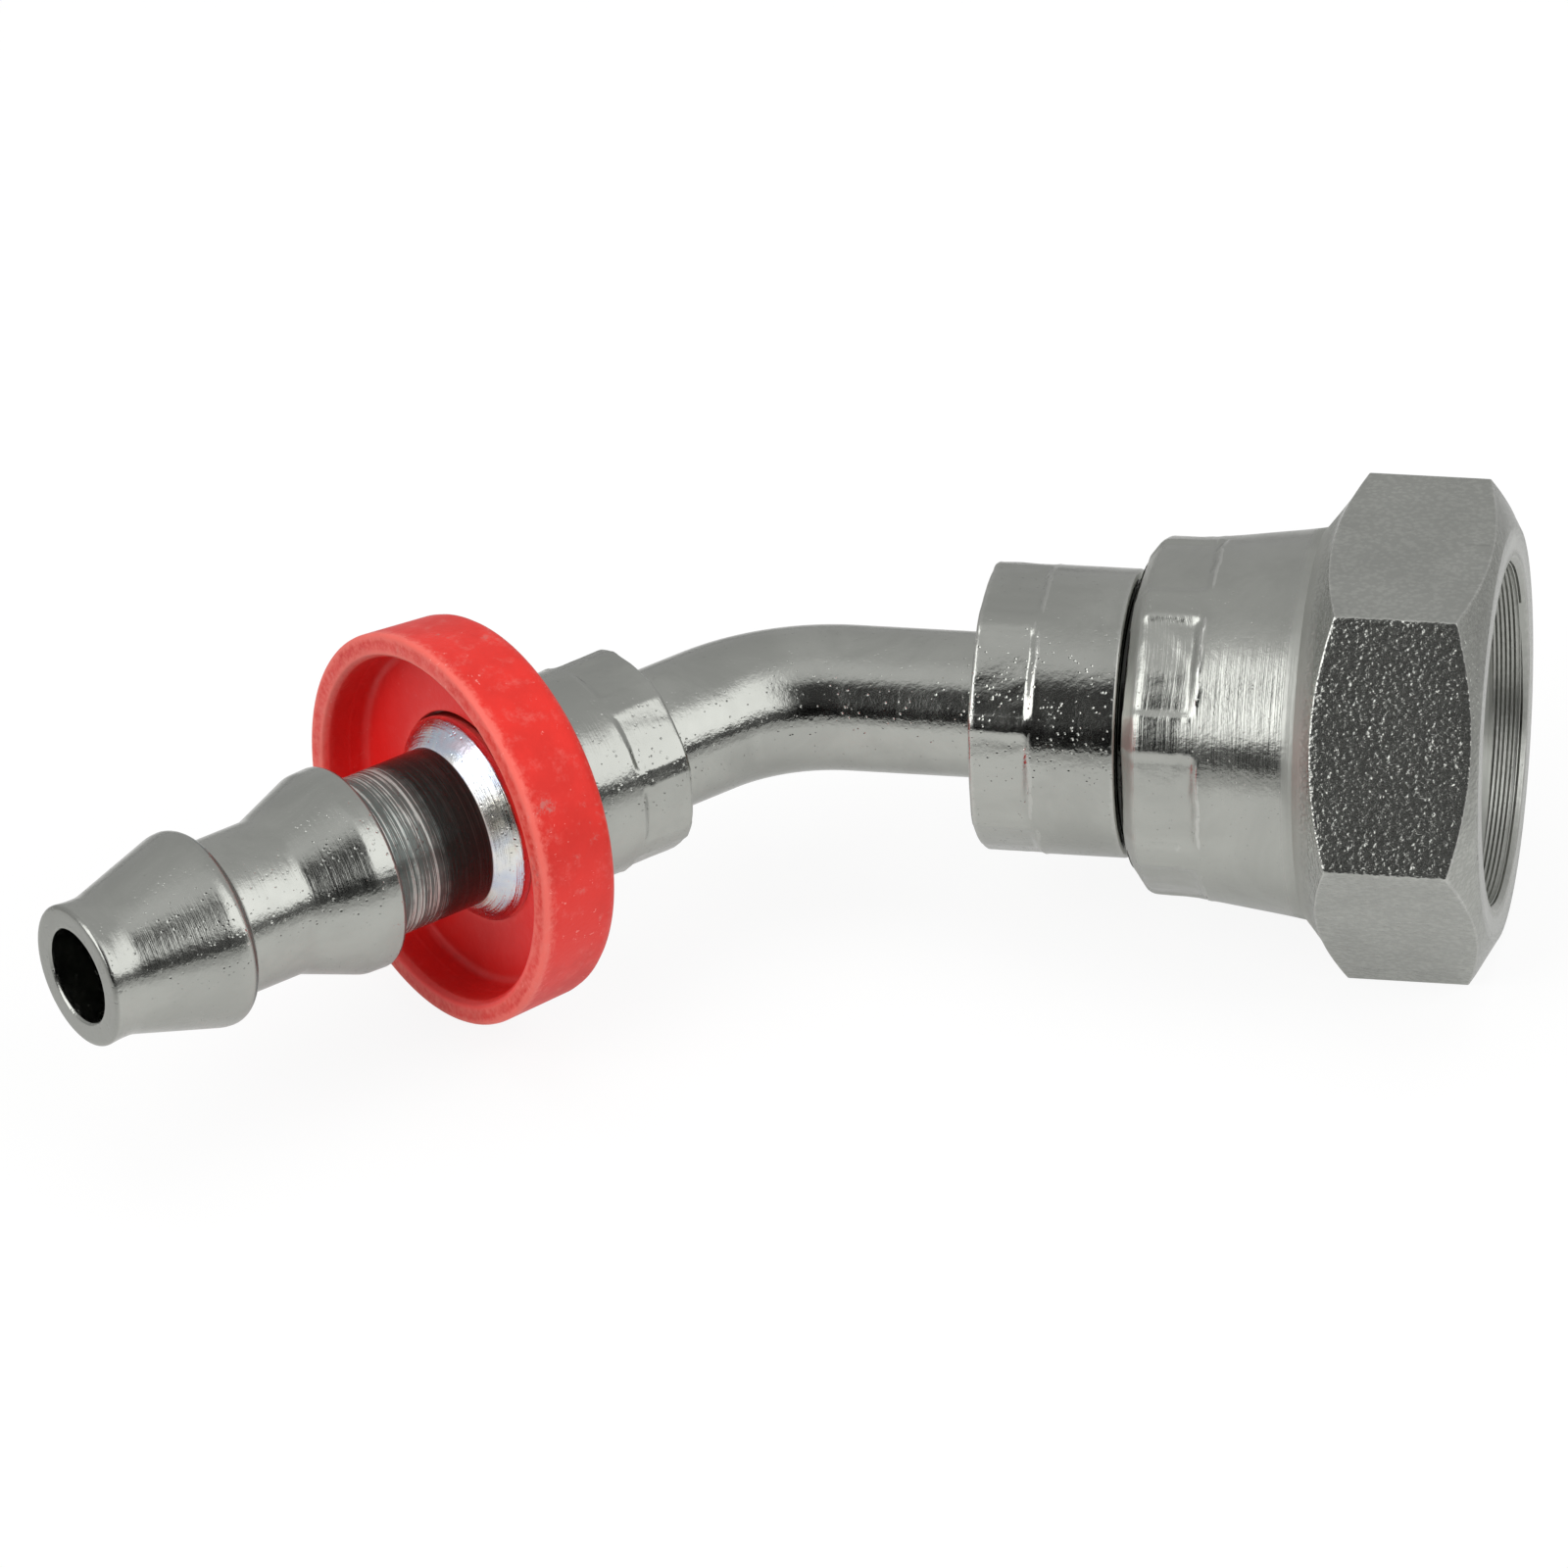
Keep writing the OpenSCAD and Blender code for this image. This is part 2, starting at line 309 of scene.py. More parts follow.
def finish_piece(name: str, bm: Mesh, axis: Axis, sharp: float) -> bpy.types.Object:
    """Put a mesh in its place in the part and make an object of it.

    Args:
        name: The object's name.
        bm: The mesh in its own frame, in millimetres. It is freed.
        axis: The axis that the piece was turned about.
        sharp: Angle in degrees above which an edge stays sharp.

    Returns:
        The object, at the origin, with its place in its mesh.
    """
    bm.transform(Matrix.Scale(MM, 4) @ axis.place())
    for face in bm.faces:
        face.smooth = True
    piece = link_mesh(name, bm)
    piece.data.set_sharp_from_angle(angle=math.radians(sharp))
    return piece


def link_mesh(name: str, bm: Mesh) -> bpy.types.Object:
    """Make an object of a mesh and link it to the scene.

    Args:
        name: Name of the object and of its mesh.
        bm: The mesh, in metres. It is freed.

    Returns:
        The object, at the origin.
    """
    mesh = bpy.data.meshes.new(name)
    bm.to_mesh(mesh)
    bm.free()
    piece = bpy.data.objects.new(name, mesh)
    bpy.context.scene.collection.objects.link(piece)
    return piece


# ------------------------------------------------------------- shader wiring


def rgba(color: Color, level: float = 1.0) -> tuple[float, ...]:
    """Return an opaque colour at a share of its brightness."""
    return tuple(c * level for c in color) + (1.0,)


class Shader:
    """Adds nodes to one tree and links them, with values set on the sockets."""

    def __init__(self, tree: bpy.types.NodeTree) -> None:
        """Keep the tree that the nodes go into."""
        self.tree = tree

    def add(self, kind: str, **values: object) -> Node:
        """Add a node.

        Args:
            kind: The node's type name.
            values: Properties by name, or inputs by name with spaces as underscores.

        Returns:
            The new node.
        """
        node = self.tree.nodes.new(kind)
        for key, value in values.items():
            if hasattr(node, key):
                setattr(node, key, value)
        for key, value in values.items():
            if not hasattr(node, key):
                self.feed(node, key.replace("_", " "), value)
        return node

    def feed(self, node: Node, name: str | int, value: object) -> None:
        """Set an input to a value, or link it to another node's output.

        Args:
            node: The node that has the input.
            name: Name or number of the input.
            value: A number or colour, or the output to link.
        """
        if isinstance(value, Socket):
            self.tree.links.new(value, node.inputs[name])
        else:
            node.inputs[name].default_value = value

    def use(self, group: str, **values: object) -> Node:
        """Place a shared group with its own values."""
        return self.add("ShaderNodeGroup", node_tree=bpy.data.node_groups[group], **values)

    def math(self, operation: str, a: object, b: object = 0.0, c: object = 0.0,
             clamp: bool = False) -> Socket:
        """Return the result of a Math node.

        Args:
            operation: What the node works out.
            a: Its first value.
            b: Its second value.
            c: Its third value.
            clamp: Whether the result is kept from 0 to 1.

        Returns:
            The node's output.
        """
        node = self.add("ShaderNodeMath", operation=operation, use_clamp=clamp)
        for index, value in enumerate((a, b, c)):
            self.feed(node, index, value)
        return node.outputs[0]

    def times(self, a: object, b: object) -> Socket:
        """Return a times b."""
        return self.math("MULTIPLY", a, b)

    def plus(self, a: object, b: object) -> Socket:
        """Return a plus b."""
        return self.math("ADD", a, b)

    def minus(self, a: object, b: object) -> Socket:
        """Return a minus b."""
        return self.math("SUBTRACT", a, b)

    def larger(self, a: object, b: object) -> Socket:
        """Return the larger of a and b."""
        return self.math("MAXIMUM", a, b)

    def step(self, value: object, low: float, high: float, soft: bool = True,
             to_low: float = 0.0, to_high: float = 1.0) -> Socket:
        """Return a value that goes from to_low at low to to_high at high.

        Args:
            value: The value to read.
            low: Where the step starts.
            high: Where the step ends, which may be under low.
            soft: Whether the step eases in and out.
            to_low: Result at low.
            to_high: Result at high.

        Returns:
            The node's output.
        """
        kind = "SMOOTHSTEP" if soft else "LINEAR"
        node = self.add("ShaderNodeMapRange", interpolation_type=kind, Value=value)
        for name, number in zip(("From Min", "From Max", "To Min", "To Max"),
                                (low, high, to_low, to_high)):
            node.inputs[name].default_value = number
        return node.outputs[0]

    def band(self, value: object, low: float, high: float, soft: float) -> Socket:
        """Return a mask that is 1 between low and high, with ends as wide as twice soft."""
        rise = self.step(value, low - soft, low + soft)
        return self.times(rise, self.step(value, high - soft, high + soft, True, 1.0, 0.0))

    def blend(self, factor: object, a: object, b: object) -> Socket:
        """Return a colour between two others.

        Args:
            factor: Share of b.
            a: The first colour.
            b: The second colour.

        Returns:
            The node's output.
        """
        node = self.add("ShaderNodeMix", data_type="RGBA")
        for index, value in ((0, factor), (6, a), (7, b)):
            self.feed(node, index, value)
        return node.outputs[2]

    def choose(self, factor: object, a: object, b: object) -> Socket:
        """Return a number between two others.

        Args:
            factor: Share of b.
            a: The first number.
            b: The second number.

        Returns:
            The node's output.
        """
        node = self.add("ShaderNodeMix", data_type="FLOAT")
        for index, value in ((0, factor), (2, a), (3, b)):
            self.feed(node, index, value)
        return node.outputs[0]

    def noise(self, vector: object, scale: object, detail: float = 3.0, rough: float = 0.55,
              warp: float = 0.0) -> Socket:
        """Return the grey value of a Noise Texture."""
        return self.add("ShaderNodeTexNoise", Vector=vector, Scale=scale, Detail=detail,
                        Roughness=rough, Distortion=warp).outputs["Fac"]

    def cells(self, vector: object, scale: float) -> Socket:
        """Return the distance to the middle of a Voronoi Texture's cell."""
        return self.add("ShaderNodeTexVoronoi", Vector=vector, Scale=scale).outputs["Distance"]

    def vector(self, operation: str, a: object, b: object = (0.0, 0.0, 0.0)) -> Node:
        """Add a Vector Math node.

        Args:
            operation: What the node works out.
            a: Its first vector.
            b: Its second vector.

        Returns:
            The new node.
        """
        node = self.add("ShaderNodeVectorMath", operation=operation)
        self.feed(node, 0, a)
        self.feed(node, 1, b)
        return node

    def stretch(self, vector: object, scale: Sequence[float]) -> Socket:
        """Return the vector scaled along X, Y and Z."""
        return self.vector("MULTIPLY", vector, tuple(scale)).outputs[0]

    def along(self, vector: object) -> Socket:
        """Return a vector's place along X."""
        return self.add("ShaderNodeSeparateXYZ", Vector=vector).outputs[0]

    def radius(self, vector: object) -> Socket:
        """Return a vector's distance from the X axis."""
        return self.vector("LENGTH", self.stretch(vector, (0, 1, 1))).outputs["Value"]

    def bump(self, height: object, depth: float, normal: Socket | None = None) -> Socket:
        """Return the normal of a Bump node.

        Args:
            height: The height of the surface.
            depth: How deep a height of 1 is, in millimetres.
            normal: The normal under it, if there is one.

        Returns:
            The node's output.
        """
        node = self.add("ShaderNodeBump", Height=height, Distance=depth * MM)
        if normal is not None:
            self.feed(node, "Normal", normal)
        return node.outputs[0]


def new_material(name: str) -> tuple[bpy.types.Material, Shader]:
    """Make a material with nodes.

    Args:
        name: The material's name.

    Returns:
        The material and a shader writer for it.
    """
    material = bpy.data.materials.new(name)
    material.use_nodes = True
    return material, Shader(material.node_tree)


def new_group(name: str, inputs: dict[str, tuple[str, object]],
              outputs: Sequence[str]) -> tuple[Shader, Node, Node]:
    """Start a shader node group with named sockets.

    Args:
        name: The group's name.
        inputs: Socket type and default value by name.
        outputs: Names of the outputs, which are all numbers.

    Returns:
        A shader writer for the group, and its input and output nodes.
    """
    tree = bpy.data.node_groups.new(name, "ShaderNodeTree")
    for key, (kind, default) in inputs.items():
        socket = tree.interface.new_socket(name=key, in_out="INPUT", socket_type=kind)
        if default is not None:
            socket.default_value = default
    for key in outputs:
        tree.interface.new_socket(name=key, in_out="OUTPUT", socket_type="NodeSocketFloat")
    shader = Shader(tree)
    return shader, shader.add("NodeGroupInput"), shader.add("NodeGroupOutput")


def turning_group() -> bpy.types.NodeTree:
    """Build the group of fine lines that turning or brushing leaves round an axis.

    Returns:
        A group from a vector in millimetres, X along the axis, to a height and a streak mask.
    """
    s, i, o = new_group(
        "Turning lines",
        {"Vector": ("NodeSocketVector", None), "Lines per mm": ("NodeSocketFloat", 9.0),
         "Unevenness": ("NodeSocketFloat", 0.5)},
        ("Height", "Streaks"))
    across = s.stretch(i.outputs["Vector"], (0, 1, 1))
    # Lines run on over a face square to the axis, at a little under their spacing along it.
    face = s.times(s.vector("LENGTH", across).outputs["Value"], 0.83)
    count = s.times(s.plus(s.along(i.outputs["Vector"]), face), i.outputs["Lines per mm"])
    slow = s.vector("SCALE", s.vector("NORMALIZE", across).outputs[0])
    s.feed(slow, "Scale", i.outputs["Unevenness"])
    place = s.add("ShaderNodeCombineXYZ", X=count)
    where = s.vector("ADD", place.outputs[0], slow.outputs[0]).outputs[0]
    wide = s.noise(s.stretch(where, (0.16, 1.6, 1.6)), 1.0, 2.0, 0.5)
    s.feed(o, "Height", s.step(s.noise(where, 1.0, 4.0, 0.7), 0.3, 0.7, soft=False))
    s.feed(o, "Streaks", s.step(wide, 0.4, 0.62))
    return s.tree


def plating_group() -> bpy.types.NodeTree:
    """Build the group of the grain, pits and cloudiness of zinc plating.

    Returns:
        A group from a vector in millimetres to a grain height, a pit mask and a cloud mask.
    """
    s, i, o = new_group(
        "Zinc plating",
        {"Vector": ("NodeSocketVector", None), "Grain per mm": ("NodeSocketFloat", 3.0),
         "Pits": ("NodeSocketFloat", 0.3)},
        ("Height", "Pit mask", "Clouds"))
    where, pits = i.outputs["Vector"], i.outputs["Pits"]
    grain = s.step(s.noise(where, i.outputs["Grain per mm"], 2.0, 0.6), 0.3, 0.7, soft=False)
    swell = s.step(s.noise(where, 0.6, 1.0), 0.3, 0.7, soft=False)
    rough = s.plus(grain, s.times(swell, 1.6))
    # Dimples sit in the middle of cells, and are wide only where the spots gather them.
    spots = s.step(s.noise(where, 0.7, 3.0), 0.38, 0.6, to_low=0.12, to_high=0.62)
    share = s.math("DIVIDE", s.cells(where, 2.7), s.times(pits, spots))
    dimple = s.math("SUBTRACT", 1.0, share, clamp=True)
    dirt = s.times(s.step(s.noise(where, 1.1, 5.0, 0.75), 0.66, 0.76), pits)
    s.feed(o, "Height", s.minus(rough, s.times(dimple, 4.2)))
    s.feed(o, "Pit mask", dirt)
    s.feed(o, "Clouds", s.step(s.noise(where, 0.16, 4.0, 0.6, 0.6), 0.3, 0.7))
    return s.tree


def wear_group() -> bpy.types.NodeTree:
    """Build the group that breaks up the mesh's edge mask into rubbed patches.

    Returns:
        A group from the edge mask and a vector in millimetres to a wear mask.
    """
    s, i, o = new_group(
        "Edge wear",
        {"Edge": ("NodeSocketFloat", 0.0), "Vector": ("NodeSocketVector", None),
         "Amount": ("NodeSocketFloat", 0.5)},
        ("Wear",))
    patches = s.minus(s.noise(i.outputs["Vector"], 2.3, 4.0, 0.7), 0.5)
    level = s.step(s.plus(i.outputs["Edge"], patches), 0.25, 0.75)
    s.feed(o, "Wear", s.times(level, i.outputs["Amount"]))
    return s.tree


# ------------------------------------------------------------------- finishes


@dataclass(frozen=True)
class Layers:
    """What the paint of a steel starts from.

    The place is in millimetres, X along the piece's axis, and the three nodes are the groups
    for plating, turning lines and edge wear.
    """

    s: Shader
    principled: Node
    where: Socket
    plating: Node
    turning: Node
    worn: Node


@dataclass(frozen=True)
class PlatedSteel:
    """Zinc plated steel, with the marks that its making left on it.

    Grain and lines are counts for each millimetre, and their depths are in millimetres.
    """

    name: str
    axis: Axis
    color: Color = (0.52, 0.53, 0.495)
    pit_color: Color = (0.14, 0.14, 0.13)
    worn_color: Color = (0.72, 0.72, 0.69)
    dulled: float = 0.86
    roughness: float = 0.16
    grain: float = 3.2
    grain_depth: float = 0.012
    lines: float = 9.0
    line_depth: float = 0.002
    pits: float = 0.4
    wear: float = 0.5

    def local(self, s: Shader) -> Socket:
        """Return Object coordinates in millimetres, X along the piece's axis.

        Args:
            s: The shader writer.

        Returns:
            The output of a Mapping node.
        """
        place = self.axis.place()
        where = s.add("ShaderNodeTexCoord")
        turn = s.add("ShaderNodeMapping", vector_type="TEXTURE", Vector=where.outputs["Object"])
        turn.inputs["Location"].default_value = place.translation * MM
        turn.inputs["Rotation"].default_value = place.to_euler()
        turn.inputs["Scale"].default_value = (MM, MM, MM)
        return turn.outputs[0]

    def build(self) -> bpy.types.Material:
        """Make the finished material.

        Returns:
            The material.
        """
        material, s = new_material(self.name)
        principled = s.tree.nodes["Principled BSDF"]
        principled.inputs["Metallic"].default_value = 1.0
        where = self.local(s)
        edge = s.add("ShaderNodeAttribute", attribute_name="edge").outputs["Fac"]
        self.paint(Layers(
            s, principled, where,
            s.use("Zinc plating", Vector=where, Grain_per_mm=self.grain, Pits=self.pits),
            s.use("Turning lines", Vector=where, Lines_per_mm=self.lines),
            s.use("Edge wear", Edge=edge, Vector=where, Amount=self.wear)))
        return material

    def paint(self, on: Layers) -> None:
        """Feed the shader its colour, roughness and bumps.

        Args:
            on: What the paint starts from.
        """
        s = on.s
        s.feed(on.principled, "Base Color", self.tint(on, self.plated(on)))
        rough = s.plus(self.roughness, s.times(on.plating.outputs["Clouds"], 0.05))
        rough = s.plus(rough, s.times(on.turning.outputs["Streaks"], 0.03))
        rough = s.math("MULTIPLY_ADD", on.worn.outputs["Wear"], 0.3, rough)
        s.feed(on.principled, "Roughness", rough)
        lines = s.bump(self.line_height(on), self.line_depth)
        grains = s.bump(on.plating.outputs["Height"], self.grain_depth, lines)
        s.feed(on.principled, "Normal", grains)

    def plated(self, on: Layers) -> Socket:
        """Return the plating's colour with its clouds, pits and rubbed edges.

        Args:
            on: What the paint starts from.

        Returns:
            The colour.
        """
        s = on.s
        dull = rgba(self.color, self.dulled)
        base = s.blend(on.plating.outputs["Clouds"], dull, rgba(self.color))
        dirt = s.times(on.plating.outputs["Pit mask"], 0.6)
        base = s.blend(dirt, base, rgba(self.pit_color))
        return s.blend(on.worn.outputs["Wear"], base, rgba(self.worn_color))

    def line_height(self, on: Layers) -> Socket:
        """Return the height of the turning lines."""
        return on.turning.outputs["Height"]

    def tint(self, on: Layers, base: Socket) -> Socket:
        """Return the colour with what is special to this piece."""
        return base


@dataclass(frozen=True)
class TailSteel(PlatedSteel):
    """The tail's steel: a neck in painted shade with painted highlights, deep turning lines, and a
    bright shoulder.

    Its places are in millimetres from the tip.
    """

    barb_1_end: float = 9.45
    barb_2_end: float = 19.6
    neck_start: float = 19.9
    dark_start: float = 23.2
    neck_end: float = 26.7
    shoulder_end: float = 28.4
    barb_shade_color: Color = (0.045, 0.057, 0.052)
    tip_shade_color: Color = (0.3, 0.305, 0.285)
    neck_shade_and_highlight_colors: tuple[Color, Color] = ((0.05, 0.08, 0.075), (0.5, 0.58, 0.55))
    neck_shade_color: Color = (0.006, 0.018, 0.016)
    sheen: tuple[tuple[float, Color], ...] = (
        (0.32, (0.80, 0.71, 0.80)), (0.43, (0.70, 0.77, 0.90)),
        (0.54, (0.90, 0.91, 0.90)), (0.68, (0.86, 0.83, 0.70)))

    def line_height(self, on: Layers) -> Socket:
        """Return the lines, several times deeper on the neck and the shoulder.

        Args:
            on: What the paint starts from.

        Returns:
            The height.
        """
        s, along = on.s, on.s.along(on.where)
        neck = s.band(along, self.neck_start, self.neck_end, 0.05)
        cone = s.band(along, self.neck_end, self.shoulder_end, 0.05)
        extra = s.plus(s.times(neck, 1.4), s.times(cone, 1.2))
        return s.times(on.turning.outputs["Height"], s.plus(1.0, extra))

    def tint(self, on: Layers, base: Socket) -> Socket:
        """Return the colour with painted shade behind the barbs and on the tip face, the neck in
        painted shade with painted highlights, and the bright shoulder.

        Args:
            on: What the paint starts from.
            base: The plating's colour.

        Returns:
            The colour.
        """
        s, along = on.s, on.s.along(on.where)
        # Painted shade in the hollows just behind the two barbs, which also covers the ring's red
        # reflection there.
        barb_shade = s.plus(s.band(along, self.barb_1_end - 0.62, self.barb_1_end + 0.25, 0.12),
                       s.band(along, self.barb_2_end - 0.26, self.barb_2_end + 0.25, 0.06))
        # Painted shade: the tip's end face is darker.
        tip = s.step(along, 0.1, 0.3, to_low=0.5, to_high=0.0)
        # The neck is painted: dark shade with painted highlights along its turning lines, then
        # black painted shade towards its end.
        grey = s.band(along, self.neck_start, self.neck_end, 0.3)
        dark = self.black_neck_shade(on, along)
        base = s.blend(s.times(barb_shade, 0.9), base, rgba(self.barb_shade_color))
        base = s.blend(tip, base, rgba(self.tip_shade_color))
        base = s.blend(s.times(grey, 0.85), base, self.neck_shade_and_highlights(on))
        base = s.blend(s.times(dark, 0.96), base, rgba(self.neck_shade_color))
        # Where shade is painted on the barbs and the neck, the steel is made less metallic too.
        painted_nonmetal = s.larger(s.times(barb_shade, 0.85), s.times(grey, 0.62))
        painted_nonmetal = s.larger(painted_nonmetal, s.times(dark, 0.8))
        s.feed(on.principled, "Metallic", s.minus(1.0, painted_nonmetal))
        bright = s.band(along, self.neck_end, self.shoulder_end, 0.05)
        return s.blend(bright, base, self.rainbow(on))

    def black_neck_shade(self, on: Layers, along: Socket) -> Socket:
        """Return the mask of the painted shade that blackens the end of the neck, which starts at a
        wavy line.

        Args:
            on: What the paint starts from.
            along: Place along the axis.

        Returns:
            The mask.
        """
        s = on.s
        wobble = s.times(s.minus(s.noise(on.where, 1.4), 0.5), 0.9)
        dark = s.band(s.plus(along, wobble), self.dark_start, self.neck_end + 1, 0.7)
        return s.times(dark, s.step(along, self.neck_end + 0.02, self.neck_end + 0.06,
                                    to_low=1.0, to_high=0.0))

    def neck_shade_and_highlights(self, on: Layers) -> Socket:
        """Return the colour of the neck: painted shade, with painted highlights along the scores
        round it.

        Args:
            on: What the paint starts from.

        Returns:
            The colour.
        """
        s = on.s
        fine = s.noise(s.stretch(on.where, (9.0, 0.08, 0.08)), 1.0, 3.0, 0.7)
        mask = s.step(s.plus(fine, s.times(s.noise(on.where, 0.5), 0.3)), 0.67, 0.75)
        dark, bright = self.neck_shade_and_highlight_colors
        return s.blend(mask, rgba(dark), rgba(bright))

    def rainbow(self, on: Layers) -> Socket:
        """Return the faint rainbow sheen of the shoulder.

        Args:
            on: What the paint starts from.

        Returns:
            The colour.
        """
        s = on.s
        swept = s.noise(s.stretch(on.where, (0.8, 1.0, 1.0)), 0.3, 3.0, 0.5, 0.3)
        hue = s.add("ShaderNodeValToRGB", Fac=swept)
        stops = hue.color_ramp.elements
        first, *inner, last = self.sheen
        for stop, (place, color) in zip(stops, (first, last)):
            stop.position, stop.color = place, rgba(color)
        for place, color in inner:
            stops.new(place).color = rgba(color)
        return hue.outputs[0]


@dataclass(frozen=True)
class NippleSteel(PlatedSteel):
    """The nipple's steel, with painted shade in the gap behind the nut."""

    gap_start: float = 22.72
    gap_end: float = 28.3
    gap_shade_color: Color = (0.015, 0.016, 0.014)

    def tint(self, on: Layers, base: Socket) -> Socket:
        """Return the colour with painted shade in the gap.

        Args:
            on: What the paint starts from.
            base: The plating's colour.

        Returns:
            The colour.
        """
        s, along = on.s, on.s.along(on.where)
        gap = s.times(s.math("GREATER_THAN", along, self.gap_start),
                      s.math("LESS_THAN", along, self.gap_end))
        # Painted shade: the neck in the gap behind the nut is nearly black.
        return s.blend(s.times(gap, 0.95), base, rgba(self.gap_shade_color))


@dataclass(frozen=True)
class NutSteel(PlatedSteel):
    """The nut's steel: a brushed skirt, a blasted hexagon and a turned mouth."""

    pit_color: Color = (0.06, 0.06, 0.055)
    worn_color: Color = (0.78, 0.78, 0.75)
    dulled: float = 0.88
    hex_start: float = 34.5
    hex_grain: float = 4.1
    hex_depth: float = 0.031
    hex_roughness: float = 0.15
    low_color: Color = (0.28, 0.285, 0.27)
    drawn_color: Color = (0.2, 0.2, 0.19)

    def paint(self, on: Layers) -> None:
        """Feed the shader, with the blasted grain only outside on the hexagon.

        Args:
            on: What the paint starts from.
        """
        s, along, radius = on.s, on.s.along(on.where), on.s.radius(on.where)
        hexagon = s.times(s.step(radius, 12.0, 12.4),
                          s.step(along, self.hex_start - 0.1, self.hex_start + 0.3))
        blasted = self.blasted(on)
        low = s.times(hexagon, s.step(blasted, 0.2, -0.3))
        base = s.blend(s.times(low, 0.3), self.plated(on), rgba(self.low_color))
        drawn = s.times(s.times(self.drawn(on), hexagon), 0.3)
        s.feed(on.principled, "Base Color", s.blend(drawn, base, rgba(self.drawn_color)))
        s.feed(on.principled, "Metallic", s.minus(1.0, s.times(hexagon, 0.07)))
        s.feed(on.principled, "Roughness", self.dullness(on, hexagon, along, radius))
        brushed = s.times(on.turning.outputs["Height"], s.minus(1.0, s.times(hexagon, 0.85)))
        lines = s.bump(brushed, self.line_depth)
        smooth = s.times(on.plating.outputs["Height"], self.grain_depth / self.hex_depth)
        rugged = s.choose(hexagon, smooth, blasted)
        s.feed(on.principled, "Normal", s.bump(rugged, self.hex_depth, lines))

    def blasted(self, on: Layers) -> Socket:
        """Return the height of the blasted grain.

        Args:
            on: What the paint starts from.

        Returns:
            The height.
        """
        s = on.s
        grit = s.stretch(on.where, (0.75, 1.0, 1.0))
        fine = s.step(s.noise(grit, self.hex_grain * 0.8, 2.0, 0.6), 0.3, 0.7, soft=False)
        clumps = s.step(s.noise(grit, 0.9, 3.0), 0.35, 0.65, to_low=0.75, to_high=1.2)
        dots = s.times(s.cells(grit, self.hex_grain * 0.85), clumps)
        return s.minus(s.times(fine, 0.7), dots)

    def drawn(self, on: Layers) -> Socket:
        """Return the mask of the faint lines that drawing the bar left along the flats."""
        fine = on.s.noise(on.s.stretch(on.where, (0.03, 3.5, 3.5)), 1.0, 2.0)
        there = on.s.step(on.s.noise(on.where, 0.2, 2.0), 0.5, 0.62)
        return on.s.times(on.s.step(fine, 0.6, 0.68), there)

    def dullness(self, on: Layers, hexagon: Socket, along: Socket, radius: Socket) -> Socket:
        """Return the roughness, higher in the mouth, at the hexagon's foot and at the rear end.

        Args:
            on: What the paint starts from.
            hexagon: Mask of the hexagon.
            along: Place along the axis.
            radius: Distance from the axis.

        Returns:
            The roughness.
        """
        s = on.s
        skirt = s.plus(self.roughness, s.times(on.turning.outputs["Streaks"], 0.05))
        mouth = s.times(s.step(radius, 11.4, 11.0), s.step(along, 34, 35))
        rough = s.math("MULTIPLY_ADD", mouth, 0.16,
                       s.choose(hexagon, skirt, self.hex_roughness))
        foot = s.times(s.step(along, 33.0, 33.9), s.step(along, 35.4, 34.9))
        rear = s.step(along, 24.3, 23.9, to_high=0.18)
        return s.plus(rough, s.larger(s.times(foot, 0.3), rear))


